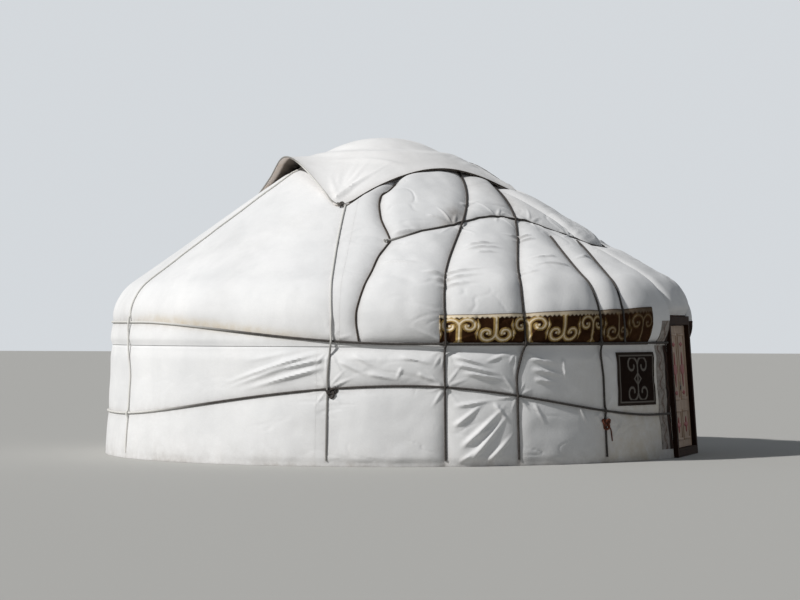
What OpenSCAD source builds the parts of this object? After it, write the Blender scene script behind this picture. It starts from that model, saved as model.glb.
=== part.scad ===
/* [Walls and roof] */
// Radius of the felt wall's outer face at the ground
base_r = 3250; // [2800:10:3800]
// Height of the lattice wall, where the roof poles bend in
wall_h = 1500; // [1350:10:1700]
// Lean of the wall and the door frame towards the middle, in degrees
lean = 4; // [2:0.5:6]
// Outer radius of the bend of a roof pole, in place of a sharp eave
bend_r = 450; // [300:10:600]
// Thickness of the wall and roof felts
felt_t = 20; // [12:1:26]
// How far below the eave the wall felts stop
wall_felt_down = 55; // [40:5:120]
// Length of the roof felts' skirt below the eave
skirt_l = 310; // [250:5:360]
// Height above the eave at which the roof felt over the door begins
door_felt_up = 6; // [4:1:30]

/* [Lattice and poles] */
// Number of roof poles, and of lattice heads with those over the door
poles = 72; // [56:8:72]
// Width of a roof pole
pole_w = 30; // [22:1:34]
// Thickness of a roof pole
pole_t = 30; // [24:1:34]
// Length of a pole's foot that is tied to the lattice head
foot_l = 240; // [160:10:280]
// Depth of a pole's tip in the crown ring
tip_l = 40; // [25:1:45]
// Width of a lattice lath
lath_w = 26; // [18:1:32]
// Thickness of a lattice lath
lath_t = 12; // [10:1:16]
// Lattice heads that a lath passes on its way down
lath_span = 3; // [2:1:4]

/* [Crown] */
// Outer radius of the crown ring
crown_r = 760; // [700:10:800]
// Radial width of the crown ring
crown_w = 90; // [70:1:110]
// Height of the roof poles' upper faces where they enter the crown ring
crown_z = 3240; // [3000:10:3400]
// How far the crown sits behind the middle of the wall
crown_back = 200; // [0:10:240]
// Height of the crown ring
crown_h = 90; // [84:1:110]
// Rise of the arched crown bars above the ring
bar_rise = 180; // [120:5:220]
// Width and thickness of a crown bar
bar_t = 24; // [16:1:30]
// Spacing of the three parallel crown bars
bar_gap = 95; // [70:5:130]

/* [Crown cover] */
// Distance from the crown's middle to the middle of a cover edge
cover_half = 940; // [920:10:1000]
// Distance from the crown's middle to a rounded cover corner
cover_corner = 1500; // [1400:10:1560]
// How hollow the cover's edges are cut: 1 is a square's straight edge
cover_hollow = 1.5; // [1:0.05:1.8]
// How much further the cover is pulled down on the left
cover_pull = 240; // [0:10:240]
// Thickness of the cover felt
cover_t = 16; // [10:1:20]
// Direction of the cover's front corner, in degrees from the door
cover_turn = 0; // [-10:1:10]
// Lift of the raised edge, where light and smoke pass
cover_lift = 190; // [120:10:300]

/* [Door] */
// Clear width between the door jambs
door_w = 960; // [860:10:1000]
// Width of a jamb's face
jamb_w = 70; // [50:1:80]
// Depth of the door frame
frame_d = 110; // [90:1:130]
// Height of the threshold
sill_h = 90; // [70:1:110]
// Height of the lintel
lintel_h = 92; // [70:1:110]
// Thickness of a door leaf
leaf_t = 36; // [30:1:40]
// Set-back of a door leaf from the frame's face
leaf_set = 44; // [1:1:45]
// Gap between a leaf's rounded heel and its jamb
heel_gap = 7; // [6:0.5:10]
// Gap all round a leaf elsewhere
leaf_gap = 6; // [5:0.5:8]
// Radius of a leaf's wooden pivot pins
pin_r = 12; // [9:0.5:14]
// Length of a pivot pin
pin_l = 30; // [20:1:36]
// Radial clearance of a pivot pin in its hole
pin_gap = 0.08; // [0.05:0.01:0.1]
// Thickness and height of the stops behind the leaves
stop_t = 18; // [12:1:24]

/* [Ropes and ornament] */
// Diameter of the ropes that go round the yurt
ring_rope = 24; // [10:1:26]
// Diameter of the ropes that run down the roof and the wall
down_rope = 22; // [8:1:24]
// Ends of an ornament band, in degrees from the door
band_a0 = 19; // [14:1:40]
// The other end, towards the back
band_a1 = 66; // [45:1:80]
// Thickness of the ornament bands
band_t = 4; // [3:0.5:6]
// Height of the ornament bands along the felt, at the door
band_h = 370; // [300:10:450]
// Height at the other end, as a share of that
band_taper = 0.8; // [0.7:0.05:1]
// Thickness of the ornament panels
panel_t = 8; // [4:1:12]
// Height of the ornament panels
panel_h = 550; // [400:10:560]
// How far below the skirt the panels hang
panel_down = 60; // [4:4:80]
// Height of the wall rope at the door and at the back
hook_low = 470; // [400:10:560]
// How much higher it is hooked half way between
hook_up = 330; // [0:10:380]
// Clearance between pieces that lie against each other
clear = 0.4; // [0.2:0.1:0.8]

/* [Hidden] */
SEGMENTS = ["front_left", "left", "rear_left", "back_left",
            "back_right", "rear_right", "right", "front_right"];
SIDES = ["left", "right"];

step = 360 / poles;
deg = 180 / PI;
round_n = 360;
bend_n = 5;
rope_step = 3;
tuck = 0.8 * wall_felt_down;
wall_felt_h = wall_h - wall_felt_down;
frame_half = door_w / 2 + jamb_w;
leaf_z0 = sill_h + leaf_gap;
lintel_top = wall_h - pole_t * sin(lean) - clear;
lintel_z0 = lintel_top / cos(lean) - lintel_h;
leaf_z1 = lintel_z0 - leaf_gap;
heel_r = leaf_t / 2;
pivot_x = door_w / 2 - heel_gap - heel_r;
pivot_y = leaf_set + heel_r;
skew_in = pole_w / 2 * crown_back / (base_r - wall_h * tan(lean) - crown_r);
foot_r = base_r - felt_t - clear - skew_in;
lath_tilt = lath_span * step / 2;
lath_seat = 0.75 * lath_t + lath_w / 2 * sin(lath_tilt) + skew_in + 5 * clear;
lath_head = lath_w / 2 + 1;
lath_r = foot_r - pole_t - lath_seat;
eave_in = wall_h * tan(lean);
bend_s = bend_r * cos(lean);
bend_z = wall_h - bend_r * sin(lean);
wall_a = 10;
segment = (360 - 2 * wall_a) / 8;
seam_a = 84;
wall_seam_a = 88;
eave_r = foot_r - eave_in;
door_felt_a = asin((frame_half + 8 * clear) / eave_r);
door_pole_a = asin((frame_half + pole_w / 2 + 2 * clear) / eave_r);
ring_z0 = crown_z - crown_h * 0.5;
ring_z1 = ring_z0 + crown_h;
ring_in = crown_r - crown_w;
tight = felt_t + clear;
rope_sag = base_r * (1 - cos(rope_step / 2)) + clear / 4;
facet_r = foot_r * (1 - cos(step / 2)) + rope_sag + clear;
cover_gap = facet_r + 8 * clear;

// Directions are in degrees from the door, counter-clockwise seen from above
function dir(a) = [sin(a), -cos(a)];
function eave(a) = eave_r * dir(a);
function socket(a) = [0, crown_back] + crown_r * dir(a);
function run(a) = norm(socket(a) - eave(a));
function inward(a) = (socket(a) - eave(a)) / run(a);
function rise(a) = [run(a) - bend_s, crown_z - bend_z];
function slope(a) = atan2(rise(a)[1], rise(a)[0]) - asin(bend_r / norm(rise(a)));
function bend_l(a) = bend_r * (90 - lean - slope(a)) / deg;
function pole_l(a) = bend_l(a) + sqrt(pow(norm(rise(a)), 2) - pow(bend_r, 2));

// Point in a pole's plane, w along its outer face from the eave, o out from it
function along(a, w, o) =
    w < 0 ? [w * sin(lean) - o * cos(lean), wall_h + w * cos(lean) + o * sin(lean)]
    : w < bend_l(a)
        ? let (t = 90 - lean - w / bend_r * deg)
            [bend_s - (bend_r + o) * sin(t), bend_z + (bend_r + o) * cos(t)]
        : let (b = slope(a), l = w - bend_l(a))
            [bend_s - (bend_r + o) * sin(b) + l * cos(b),
             bend_z + (bend_r + o) * cos(b) + l * sin(b)];
function skin(a, w, o) =
    let (p = along(a, w, o), q = eave(a) + inward(a) * p[0]) [q[0], q[1], p[1]];
// The same point on the corner of a facet whose middle touches that surface
function corner(a, w, o, half) =
    let (p = skin(a, w, o), c = [0, crown_back * max(0, w) / pole_l(a)])
        [c[0] + (p[0] - c[0]) / cos(half), c[1] + (p[1] - c[1]) / cos(half), p[2]];
function rad(a, r, z) = [r * sin(a), -r * cos(a), z];
function mix(a, b, t) = a + (b - a) * t;

// How far the roof felt's inner face lies out from the poles' outer faces
function lay(w) = clear + skew_in + tight * max(0, min(1, -w / tuck));
function felt_rows(a, w0) =
    concat(w0 < -tuck ? [w0, -tuck] : [], w0 < 0 ? [0] : [w0],
           [for (k = [1:bend_n]) bend_l(a) * k / bend_n],
           [for (k = [1:3]) mix(bend_l(a), pole_l(a) - 3, k / 3)]);

// Closed shell between two point grids of equal size
module shell(outer, inner) {
    n = len(outer);
    m = len(outer[0]);
    s = n * m;
    function at(i, j) = i * m + j;
    points = concat([for (r = outer) for (p = r) p], [for (r = inner) for (p = r) p]);
    top = [for (i = [0:n - 2]) for (j = [0:m - 2])
        each [[at(i, j), at(i + 1, j), at(i + 1, j + 1)], [at(i, j), at(i + 1, j + 1), at(i, j + 1)]]];
    low = [for (f = top) [f[0] + s, f[2] + s, f[1] + s]];
    rim = concat([for (j = [0:m - 2]) [at(0, j), at(0, j + 1)]],
                 [for (i = [0:n - 2]) [at(i, m - 1), at(i + 1, m - 1)]],
                 [for (j = [m - 2:-1:0]) [at(n - 1, j + 1), at(n - 1, j)]],
                 [for (i = [n - 2:-1:0]) [at(i + 1, 0), at(i, 0)]]);
    side = [for (e = rim) each [[e[0], e[1], e[1] + s], [e[0], e[1] + s, e[0] + s]]];
    polyhedron(points, concat(top, low, side));
}

// Bar of six sides along points, one flat on the felt; a loop joins its last ring to its first
function facing(p) =
    [p[0], p[1], norm([p[0], p[1]]) * 1.43 * max(0, min(1, (p[2] - wall_h) / (0.55 * bend_r)))];
module rope(path, d, loop = false) {
    n = len(path);
    sides = 6;
    r = d / 2 / cos(180 / sides);
    function tangent(i) =
        let (a = path[loop ? (i + n - 1) % n : max(0, i - 1)],
             b = path[loop ? (i + 1) % n : min(n - 1, i + 1)]) (b - a) / norm(b - a);
    points = [for (i = [0:n - 1])
        let (t = tangent(i), u0 = cross(t, facing(path[i])), u = u0 / norm(u0), v = cross(t, u))
            for (k = [0:sides - 1])
                path[i] + (u * cos(k * 360 / sides) + v * sin(k * 360 / sides)) * r];
    function at(i, k) = (i % n) * sides + k % sides;
    skin_faces = [for (i = [0:n - (loop ? 1 : 2)]) for (k = [0:sides - 1])
        each [[at(i, k), at(i + 1, k), at(i + 1, k + 1)], [at(i, k), at(i + 1, k + 1), at(i, k + 1)]]];
    ends = loop ? [] : [[for (k = [0:sides - 1]) k], [for (k = [sides - 1:-1:0]) (n - 1) * sides + k]];
    polyhedron(points, concat(skin_faces, ends));
}

// Region of one wall segment, from the ground up
module sector(i) {
    cut = clear / base_r * deg;
    rotate([0, 0, seg_lo(i) + cut])
        rotate_extrude(angle = segment - 2 * cut, $fn = round_n)
            translate([lath_r / 2, 0])
                square([lath_r, wall_h + lath_head]);
}

// Straight lath from the ground to the head at direction a. Those that lean one way lie half
// a thickness outside those that lean the other way, so that they sink into each other
module lath(a, way) {
    r = lath_r + way * lath_t / 4;
    low = rad(a - way * lath_span * step, r, 0);
    top = rad(a, r - eave_in, wall_h);
    mid = (low + top) / 2;
    ux = (top - low) / norm(top - low);
    ur = [mid[0], mid[1], 0] / norm([mid[0], mid[1]]);
    un = (ur - ux * (ur * ux)) / norm(ur - ux * (ur * ux));
    ub = cross(un, ux);
    multmatrix([[ux[0], ub[0], un[0], mid[0]],
                [ux[1], ub[1], un[1], mid[1]],
                [ux[2], ub[2], un[2], mid[2]],
                [0, 0, 0, 1]])
        cube([norm(top - low) + 3 * lath_w, lath_w, lath_t], center = true);
}

module lattice(i) {
    color("#8a5a34")
        difference() {
            intersection() {
                union() {
                    for (k = [0:poles - 1]) {
                        a = (k + 0.5) * step;
                        if (reaches(a, a - lath_span * step, i)) lath(a, 1);
                        if (reaches(a, a + lath_span * step, i)) lath(a, -1);
                    }
                }
                sector_at(i);
            }
            doorway();
        }
}

function seg_lo(i) = wall_a + i * segment;
function reaches(a, b, i) =
    let (lo = min(a, b), hi = max(a, b), s = seg_lo(i)) overlaps(lo, hi, s) || overlaps(lo + 360, hi + 360, s)
        || overlaps(lo - 360, hi - 360, s);
function overlaps(lo, hi, s) = hi > s + 0.1 && lo < s + segment - 0.1;

// The segments run from the right of the door round the back; rotate_extrude starts at +X
module sector_at(i) {
    rotate([0, 0, -90])
        sector(i);
}

// Room of the door frame through the wall, at full height
module doorway() {
    translate([-frame_half - clear, -2 * base_r, -wall_h])
        cube([2 * (frame_half + clear), 2 * base_r - base_r / 2, 3 * wall_h]);
}

module pole(a, over_door) {
    w1 = pole_l(a) + tip_l;
    w0 = over_door ? 0 : -foot_l;
    ws = concat([w0], over_door ? [] : [0], [for (k = [1:bend_n]) bend_l(a) * k / bend_n], [w1]);
    outline = concat([for (w = ws) along(a, w, 0)],
                     [for (k = [len(ws) - 1:-1:0]) along(a, ws[k], -pole_t)]);
    translate(concat(eave(a), 0))
        rotate([0, 0, atan2(inward(a)[1], inward(a)[0])])
            rotate([90, 0, 0])
                linear_extrude(pole_w, center = true)
                    polygon(outline);
}

// Hole in the crown ring for the tip of a pole
module mortise(a) {
    w0 = pole_l(a) - 1.5 * tip_l;
    w1 = pole_l(a) + tip_l + clear;
    translate(concat(eave(a), 0))
        rotate([0, 0, atan2(inward(a)[1], inward(a)[0])])
            rotate([90, 0, 0])
                linear_extrude(pole_w + 2 * clear, center = true)
                    polygon([along(a, w0, clear), along(a, w1, clear),
                             along(a, w1, -pole_t - clear), along(a, w0, -pole_t - clear)]);
}

module roof_poles(i) {
    per = poles / 8;
    color("#9a4f2c")
        for (k = [0:per - 1]) {
            a = (i * per + k + 0.5) * step;
            off = min(a, 360 - a);
            pole(a, off < door_pole_a);
        }
}

module crown_ring() {
    edge = 0.1 * crown_h;
    color("#8c4527")
        difference() {
            translate([0, crown_back, 0])
                rotate_extrude($fn = round_n)
                    polygon([[ring_in, ring_z0], [crown_r - edge, ring_z0], [crown_r, ring_z0 + edge],
                             [crown_r, ring_z1 - 2 * edge], [crown_r - 3 * edge, ring_z1],
                             [ring_in, ring_z1]]);
            for (k = [0:poles - 1])
                mortise((k + 0.5) * step);
        }
}

bar_r = (pow(ring_in, 2) + pow(bar_rise, 2)) / (2 * bar_rise);
bar_top = ring_z1 - bar_t / 12 + bar_rise;

module crown_bar(offset_y) {
    translate([0, offset_y + bar_t / 2, bar_top - bar_r])
        rotate([90, 0, 0])
            linear_extrude(bar_t)
                intersection() {
                    difference() {
                        circle(r = bar_r, $fn = round_n);
                        circle(r = bar_r - bar_t, $fn = round_n);
                    }
                    translate([-crown_r, bar_r - bar_rise - 1.3 * crown_h])
                        square([2 * crown_r, bar_rise + 2 * crown_h]);
                }
}

module crown_bars() {
    color("#8c4527")
        intersection() {
            translate([0, crown_back, 0])
                union() {
                    for (turn = [0, 90])
                        for (k = [-1:1])
                            rotate([0, 0, turn])
                                crown_bar(k * bar_gap);
                }
            translate([0, crown_back, ring_z0])
                cylinder(r = ring_in - clear, h = bar_rise + crown_h, $fn = round_n);
        }
}

// Wall felts meet at the seams and at the back, and end at the jambs
module wall_felt(a0, a1) {
    cut = clear / base_r * deg;
    top_r = base_r - wall_felt_h * tan(lean);
    color("#d9d6d0")
        difference() {
            rotate([0, 0, a0 + cut - 90])
                rotate_extrude(angle = a1 - a0 - 2 * cut, $fn = round_n)
                    polygon([[base_r, 0], [top_r, wall_felt_h], [top_r - felt_t, wall_felt_h],
                             [base_r - felt_t, 0]]);
            doorway();
        }
}

// Directions of the poles between a0 and a1
function poles_between(a0, a1) = [for (k = [ceil(a0 / step + 0.01):floor(a1 / step - 0.01)]) k * step];

// Roof felt from direction a0 to a1, flat over each pole
module roof_felt(a0, a1, w0) {
    cut = clear / foot_r * deg;
    cols = concat([a0 + cut], poles_between(a0, a1), [a1 - cut]);
    rows = len(felt_rows(a0, w0));
    function at(i, a, o) = let (w = felt_rows(a, w0)[i]) corner(a, w, lay(w) + o, step / 2);
    color("#dcdad5")
        shell([for (i = [0:rows - 1]) [for (a = cols) at(i, a, felt_t)]],
              [for (i = [0:rows - 1]) [for (a = cols) at(i, a, 0)]]);
}

// Shape of the crown cover: a hollow-edged square that hangs at its corners and arches up between them
function from_mid(a) = let (t = (a - cover_turn + 3600) % 90) t - 45;
function cover_edge(a) =
    min(cover_half / pow(cos(from_mid(a)), cover_hollow), cover_corner)
    + cover_pull * max(0, cos(a - cover_turn + 75));
function lobe(a, mid) = pow(max(0, cos(min(45, abs(((a - mid + 3780) % 360) - 180)) * 2)), 1.3);
function lift(a) =
    cover_lift * lobe(a, cover_turn - 135) + 0.15 * cover_lift * lobe(a, cover_turn - 45)
    + 0.35 * cover_lift * lobe(a, cover_turn + 45) + 0.45 * cover_lift * lobe(a, cover_turn + 135);
cover_seat = (pow(bar_gap + bar_t / 2, 2) + pow(ring_in / 4, 2) / 4) / (2 * bar_r) + 4 * clear;
function dome_z(r) = bar_top - bar_r + sqrt(pow(bar_r, 2) - pow(r, 2)) + cover_seat;
function cover_in(a, r, up) =
    [r * sin(a), crown_back - r * cos(a), (r > ring_in ? ring_z1 + 5 * clear : dome_z(r)) + up];
cover_rows = 6;
function cover_out(a, t, up) =
    let (l = mix(0.03 * crown_r, (cover_edge(a) - crown_r) / cos(slope(a)), t))
        corner(a, pole_l(a) - l, tight + down_rope + cover_gap + lift(a) * pow(t, 1.2) + up, 0);
cover_in_r = [0.25 * ring_in, 0.5 * ring_in, 0.75 * ring_in, 0.96 * ring_in, 0.97 * crown_r];

module crown_cover() {
    cols = [for (k = [0:71]) k * 5];
    m = len(cols);
    upper = concat([for (r = cover_in_r) [for (a = cols) cover_in(a, r, cover_t)]],
                   [for (i = [0:cover_rows]) [for (a = cols) cover_out(a, i / cover_rows, cover_t)]]);
    lower = concat([for (i = [cover_rows:-1:0]) [for (a = cols) cover_out(a, i / cover_rows, 0)]],
                   [for (k = [len(cover_in_r) - 1:-1:0]) [for (a = cols) cover_in(a, cover_in_r[k], 0)]]);
    rings = concat(upper, lower);
    n = len(rings);
    function at(i, j) = 1 + i * m + j % m;
    points = concat([cover_in(0, 0, cover_t)], [for (r = rings) for (p = r) p], [cover_in(0, 0, 0)]);
    fans = [for (j = [0:m - 1])
        each [[0, at(0, j + 1), at(0, j)], [1 + n * m, at(n - 1, j), at(n - 1, j + 1)]]];
    quads = [for (i = [0:n - 2]) for (j = [0:m - 1])
        each [[at(i, j), at(i, j + 1), at(i + 1, j + 1)], [at(i, j), at(i + 1, j + 1), at(i + 1, j)]]];
    color("#cfccc6")
        polyhedron(points, concat(fans, quads));
}

// The door frame and its leaves lean as one with the wall
module leaning() {
    translate([0, -base_r, 0])
        rotate([-lean, 0, 0])
            children();
}

module above_ground(top) {
    intersection() {
        leaning()
            children();
        translate([-frame_half - 50, -base_r - 60, 0])
            cube([2 * frame_half + 100, frame_d + eave_in + 160, top]);
    }
}

module jamb(side) {
    color("#3a2114")
        above_ground(wall_h)
            translate([side < 0 ? -frame_half : door_w / 2, 0, -20])
                cube([jamb_w, frame_d, 20 + lintel_z0 - clear]);
}

module pin_hole(z0, l) {
    for (s = [-1, 1])
        translate([s * pivot_x, pivot_y, z0])
            cylinder(r = pin_r + pin_gap, h = l, $fn = 64);
}

module lintel() {
    stop_y = leaf_set + leaf_t + leaf_gap;
    color("#3a2114")
        difference() {
            above_ground(lintel_top)
                union() {
                    translate([-frame_half, 0, lintel_z0])
                        cube([2 * frame_half, frame_d, lintel_h + 20]);
                    translate([-door_w / 2 + clear, stop_y, lintel_z0 - stop_t])
                        cube([door_w - 2 * clear, stop_t, stop_t + 1]);
                }
            leaning()
                pin_hole(lintel_z0 - 1, pin_l - leaf_gap + 1 + clear);
        }
}

module threshold() {
    stop_y = leaf_set + leaf_t + leaf_gap;
    color("#3a2114")
        difference() {
            above_ground(wall_h)
                union() {
                    translate([-door_w / 2 + clear, 0, -20])
                        cube([door_w - 2 * clear, frame_d, sill_h + 20]);
                    translate([-door_w / 2 + clear, stop_y, sill_h - 1])
                        cube([door_w - 2 * clear, stop_t, stop_t + 1]);
                }
            leaning()
                pin_hole(sill_h - (pin_l - leaf_gap) - clear, pin_l);
        }
}

module door_leaf(side) {
    leaf_h = leaf_z1 - leaf_z0;
    reach = pivot_x - leaf_gap / 2;
    color("#b8703f")
        leaning()
            translate([side * pivot_x, pivot_y, 0])
                union() {
                    translate([side < 0 ? 0 : -reach, -heel_r, leaf_z0])
                        cube([reach, leaf_t, leaf_h]);
                    translate([0, 0, leaf_z0])
                        cylinder(r = heel_r, h = leaf_h, $fn = 64);
                    translate([0, 0, leaf_z0 - pin_l])
                        cylinder(r = pin_r, h = leaf_h + 2 * pin_l, $fn = 64);
                }
}

// Ornament band over the skirt beside the door, on the shoulder of the roof
module ornament_band(side) {
    w0 = -skirt_l + 2 * band_t;
    first = ceil(band_a0 / step);
    last = floor(band_a1 / step);
    cols = concat([band_a0], [for (k = [first:last]) k * step], [band_a1]);
    function top(a) = max(4, w0 + band_h * mix(1, band_taper, (a - band_a0) / (band_a1 - band_a0)));
    function ws(a) = [w0, -tuck, 0, min(bend_l(a) / bend_n, top(a) - 1), top(a)];
    function at(i, a, o) = let (w = ws(a)[i]) corner(side * a, w, lay(w) + tight + o, step / 2);
    order = side > 0 ? cols : [for (k = [len(cols) - 1:-1:0]) cols[k]];
    color("#d8c2aa")
        shell([for (i = [0:4]) [for (a = order) at(i, a, band_t)]],
              [for (i = [0:4]) [for (a = order) at(i, a, 0)]]);
}

// Dark ornamented felt panel that hangs on the wall felt beside the door
panel_a0 = 17;
panel_a1 = 29;
panel_top = wall_h - (skirt_l + felt_t / 3) * cos(lean) - panel_down;
module ornament_panel(side) {
    top = panel_top;
    low = top - panel_h;
    a0 = panel_a0;
    a1 = panel_a1;
    color("#24120a")
        rotate([0, 0, (side > 0 ? a0 : -a1) - 90])
            rotate_extrude(angle = a1 - a0, $fn = round_n)
                polygon([[base_r + clear - low * tan(lean), low], [base_r + clear - top * tan(lean), top],
                         [base_r + clear + panel_t - top * tan(lean), top],
                         [base_r + clear + panel_t - low * tan(lean), low]]);
}

// Where the ropes lie: out from the poles' faces by the felts under them
function on_roof(a, w, d, up) = skin(a, w, lay(w) + tight + d / 2 + up);
function on_wall(a, z, d, up) = rad(a, base_r - z * tan(lean) + clear + d / 2 + up, z);
function from_door(a) = min(a, 360 - a);
function ease(t) = let (s = max(0, min(1, t))) s * s * (3 - 2 * s);
// The eave rope holds the skirt's hem beside the door and rises to the eave behind
function eave_w(a) = mix(-skirt_l + ring_rope, -tuck - ring_rope, ease((from_door(a) - 72) / 60));
// 1 on the ornament bands, falling to 0 just beside them
function on_band(a) = max(0, min(1, (from_door(a) - band_a0 + 6) / 6, (band_a1 + 6 - from_door(a)) / 6));
// The wall rope is hooked up half way between the door and the back
function hooked(a) =
    let (d = from_door(a) - 72) hook_low + hook_up * pow(cos(min(90, abs(d) * 90 / (d < 0 ? 55 : 70))), 2);

// The rings end on the door jambs
rope_a0 = door_felt_a + ring_rope / base_r * deg;
rope_n = floor((360 - 2 * rope_a0) / rope_step) + 1;
rope_ring = [for (k = [0:rope_n]) mix(rope_a0, 360 - rope_a0, k / rope_n)];

eave_up = facet_r + 6 * clear;
module eave_rope() {
    color("#2e2a26")
        rope([for (a = rope_ring)
            on_roof(a, eave_w(a), ring_rope,
                    eave_up + on_band(a) * (band_t + clear))], ring_rope);
}

// Where the wall rope meets a panel it runs over it
function beside_panel(a) = max(panel_a0 - from_door(a), from_door(a) - panel_a1) / 5;
function over_panel(a) =
    hooked(a) + ring_rope > panel_top - panel_h
        ? (panel_t + 2 * clear) * max(0, min(1, 1 - beside_panel(a)))
        : 0;
module wall_rope() {
    color("#2e2a26")
        rope([for (a = rope_ring) on_wall(a, hooked(a), ring_rope, rope_sag + over_panel(a))], ring_rope);
}

// The roof rope runs over the front felts from seam to seam, highest beside the door
ROOF_ROPE = [[0, 0.36], [8, 0.38], [17, 0.45], [26, 0.53], [35, 0.555], [44, 0.545], [55, 0.49], [65, 0.45],
             [75, 0.38]];
roof_rope_a = 75;
module roof_rope() {
    turns = concat([-roof_rope_a], poles_between(-roof_rope_a, -door_felt_a), [-door_felt_a],
                   poles_between(-door_felt_a, door_felt_a), [door_felt_a],
                   poles_between(door_felt_a, roof_rope_a), [roof_rope_a]);
    color("#2e2a26")
        rope([for (a = turns)
            let (w = lookup(abs(a), ROOF_ROPE) * pole_l(a))
                corner(a, w, lay(w) + tight + ring_rope / 2 + 1.5 * clear, step / 2)], ring_rope);
}

// Ropes of one side: direction at the top, share of the way up, bow,
// direction at the eave, and at the foot, where 0 is a rope that ends at the eave
DOWN = [[21, 0.95, 1.9, 65, 65], [10, 0.8, 1.8, 50, 51.5], [25, 0.42, 2, 33.3, 32.5],
        [14, 0.4, 1.6, 27, 0], [88.5, 0.65, 1, 85.5, 86], [140, 0.95, 1, 137, 136]];

over_n = 12;
module down_rope_run(side, d) {
    up = ring_rope + band_t + eave_up + 3 * clear;
    up_end = d[4] == 0 ? up - 1.5 * clear : up;
    top = d[1] * pole_l(d[3]);
    bend = bend_l(d[3]);
    // Share of the way up where the rope starts to rise, under the cover or over the roof rope
    free = d[3] < roof_rope_a ? [0.69, 0.1] : [0.57, 0.2];
    ws = concat([for (k = [over_n:-1:1]) mix(bend, top, k / over_n)],
                [for (k = [bend_n:-1:0]) bend * k / bend_n]);
    over = [for (w = ws)
        let (f = w / pole_l(d[3]), a = side * mix(d[3], d[0], pow(w / top, d[2])))
            on_roof(a, w, down_rope, mix(facet_r, up, ease((free[0] - f) / free[1])))];
    eave_end = [for (w = [-tuck, -skirt_l + ring_rope]) on_roof(side * d[3], w, down_rope, up_end)];
    foot = d[4] == 0 ? [] : [on_wall(side * d[4], 0.6 * wall_h, down_rope, up),
                             on_wall(side * d[4], 0.8 * hook_low, down_rope, up),
                             on_wall(side * d[4], 0.12 * hook_low, down_rope, 0)];
    rope(concat(over, eave_end, foot), down_rope);
}

module down_ropes(side) {
    color("#2e2a26")
        for (d = DOWN)
            down_rope_run(side, d);
}

for (i = [0:7])
    lattice(i);
for (i = [0:7])
    roof_poles(i);
crown_ring();
crown_bars();
wall_felt(0, wall_seam_a);  // wall_felt_front_right
wall_felt(wall_seam_a, 180);  // wall_felt_back_right
wall_felt(180, 360 - wall_seam_a);  // wall_felt_back_left
wall_felt(360 - wall_seam_a, 360);  // wall_felt_front_left
roof_felt(door_felt_a, seam_a, -skirt_l);  // roof_felt_front_right
roof_felt(seam_a, 180, -skirt_l);  // roof_felt_back_right
roof_felt(180, 360 - seam_a, -skirt_l);  // roof_felt_back_left
roof_felt(360 - seam_a, 360 - door_felt_a, -skirt_l);  // roof_felt_front_left
roof_felt(-door_felt_a, door_felt_a, door_felt_up);  // roof_felt_over_door
crown_cover();
jamb(-1);  // jamb_left
jamb(1);  // jamb_right
lintel();
threshold();
door_leaf(-1);  // door_leaf_left
door_leaf(1);  // door_leaf_right
ornament_band(-1);  // ornament_band_left
ornament_band(1);  // ornament_band_right
ornament_panel(-1);  // ornament_panel_left
ornament_panel(1);  // ornament_panel_right
eave_rope();
wall_rope();
roof_rope();
down_ropes(-1);  // down_ropes_left
down_ropes(1);  // down_ropes_right
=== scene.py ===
import math
from collections import namedtuple
from itertools import product

import bpy
import numpy as np
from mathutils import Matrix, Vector


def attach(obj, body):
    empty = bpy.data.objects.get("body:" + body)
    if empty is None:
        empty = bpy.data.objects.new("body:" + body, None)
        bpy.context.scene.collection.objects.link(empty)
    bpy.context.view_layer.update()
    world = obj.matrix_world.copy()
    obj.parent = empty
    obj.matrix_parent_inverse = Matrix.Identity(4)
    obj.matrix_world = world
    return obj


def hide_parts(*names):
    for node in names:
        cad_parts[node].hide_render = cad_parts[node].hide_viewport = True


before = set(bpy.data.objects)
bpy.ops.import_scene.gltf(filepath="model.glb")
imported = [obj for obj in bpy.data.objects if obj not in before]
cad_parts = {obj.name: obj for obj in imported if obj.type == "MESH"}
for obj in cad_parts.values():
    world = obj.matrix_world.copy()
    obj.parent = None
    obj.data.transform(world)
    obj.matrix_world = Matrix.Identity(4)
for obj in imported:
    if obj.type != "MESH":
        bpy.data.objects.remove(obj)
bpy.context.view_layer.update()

# Sizes of the part's source, in metres and degrees
BASE_R = 3.25
WALL_H = 1.5
LEAN = math.radians(4)
BEND_R = 0.45
FELT_T = 0.02
SKIRT_L = 0.31
DOOR_FELT_UP = 0.006
WALL_FELT_H = 1.445
POLE_W = 0.03
CROWN_R = 0.76
CROWN_W = 0.09
CROWN_Z = 3.24
CROWN_BACK = 0.2
CROWN_H = 0.09
BAR_RISE = 0.18
BAR_T = 0.024
BAR_GAP = 0.095
COVER_HALF = 0.94
COVER_CORNER = 1.5
COVER_HOLLOW = 1.5
COVER_PULL = 0.24
COVER_T = 0.016
COVER_LIFT = 0.19
DOOR_W = 0.96
JAMB_W = 0.07
LEAF_SET = 0.044
RING_ROPE = 0.024
DOWN_ROPE = 0.022
BAND_A0 = 19
BAND_A1 = 66
BAND_T = 0.004
BAND_H = 0.37
BAND_TAPER = 0.8
PANEL_A0 = 17
PANEL_A1 = 29
PANEL_T = 0.008
PANEL_H = 0.55
PANEL_DOWN = 0.06
HOOK_LOW = 0.47
HOOK_UP = 0.33
CLEAR = 0.0004
SEAM_A = 84
WALL_SEAM_A = 88
ROOF_ROPE = ((0, 0.36), (8, 0.38), (17, 0.45), (26, 0.53), (35, 0.555), (44, 0.545), (55, 0.49), (65, 0.45),
             (75, 0.38))
ROOF_ROPE_A = 75

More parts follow.
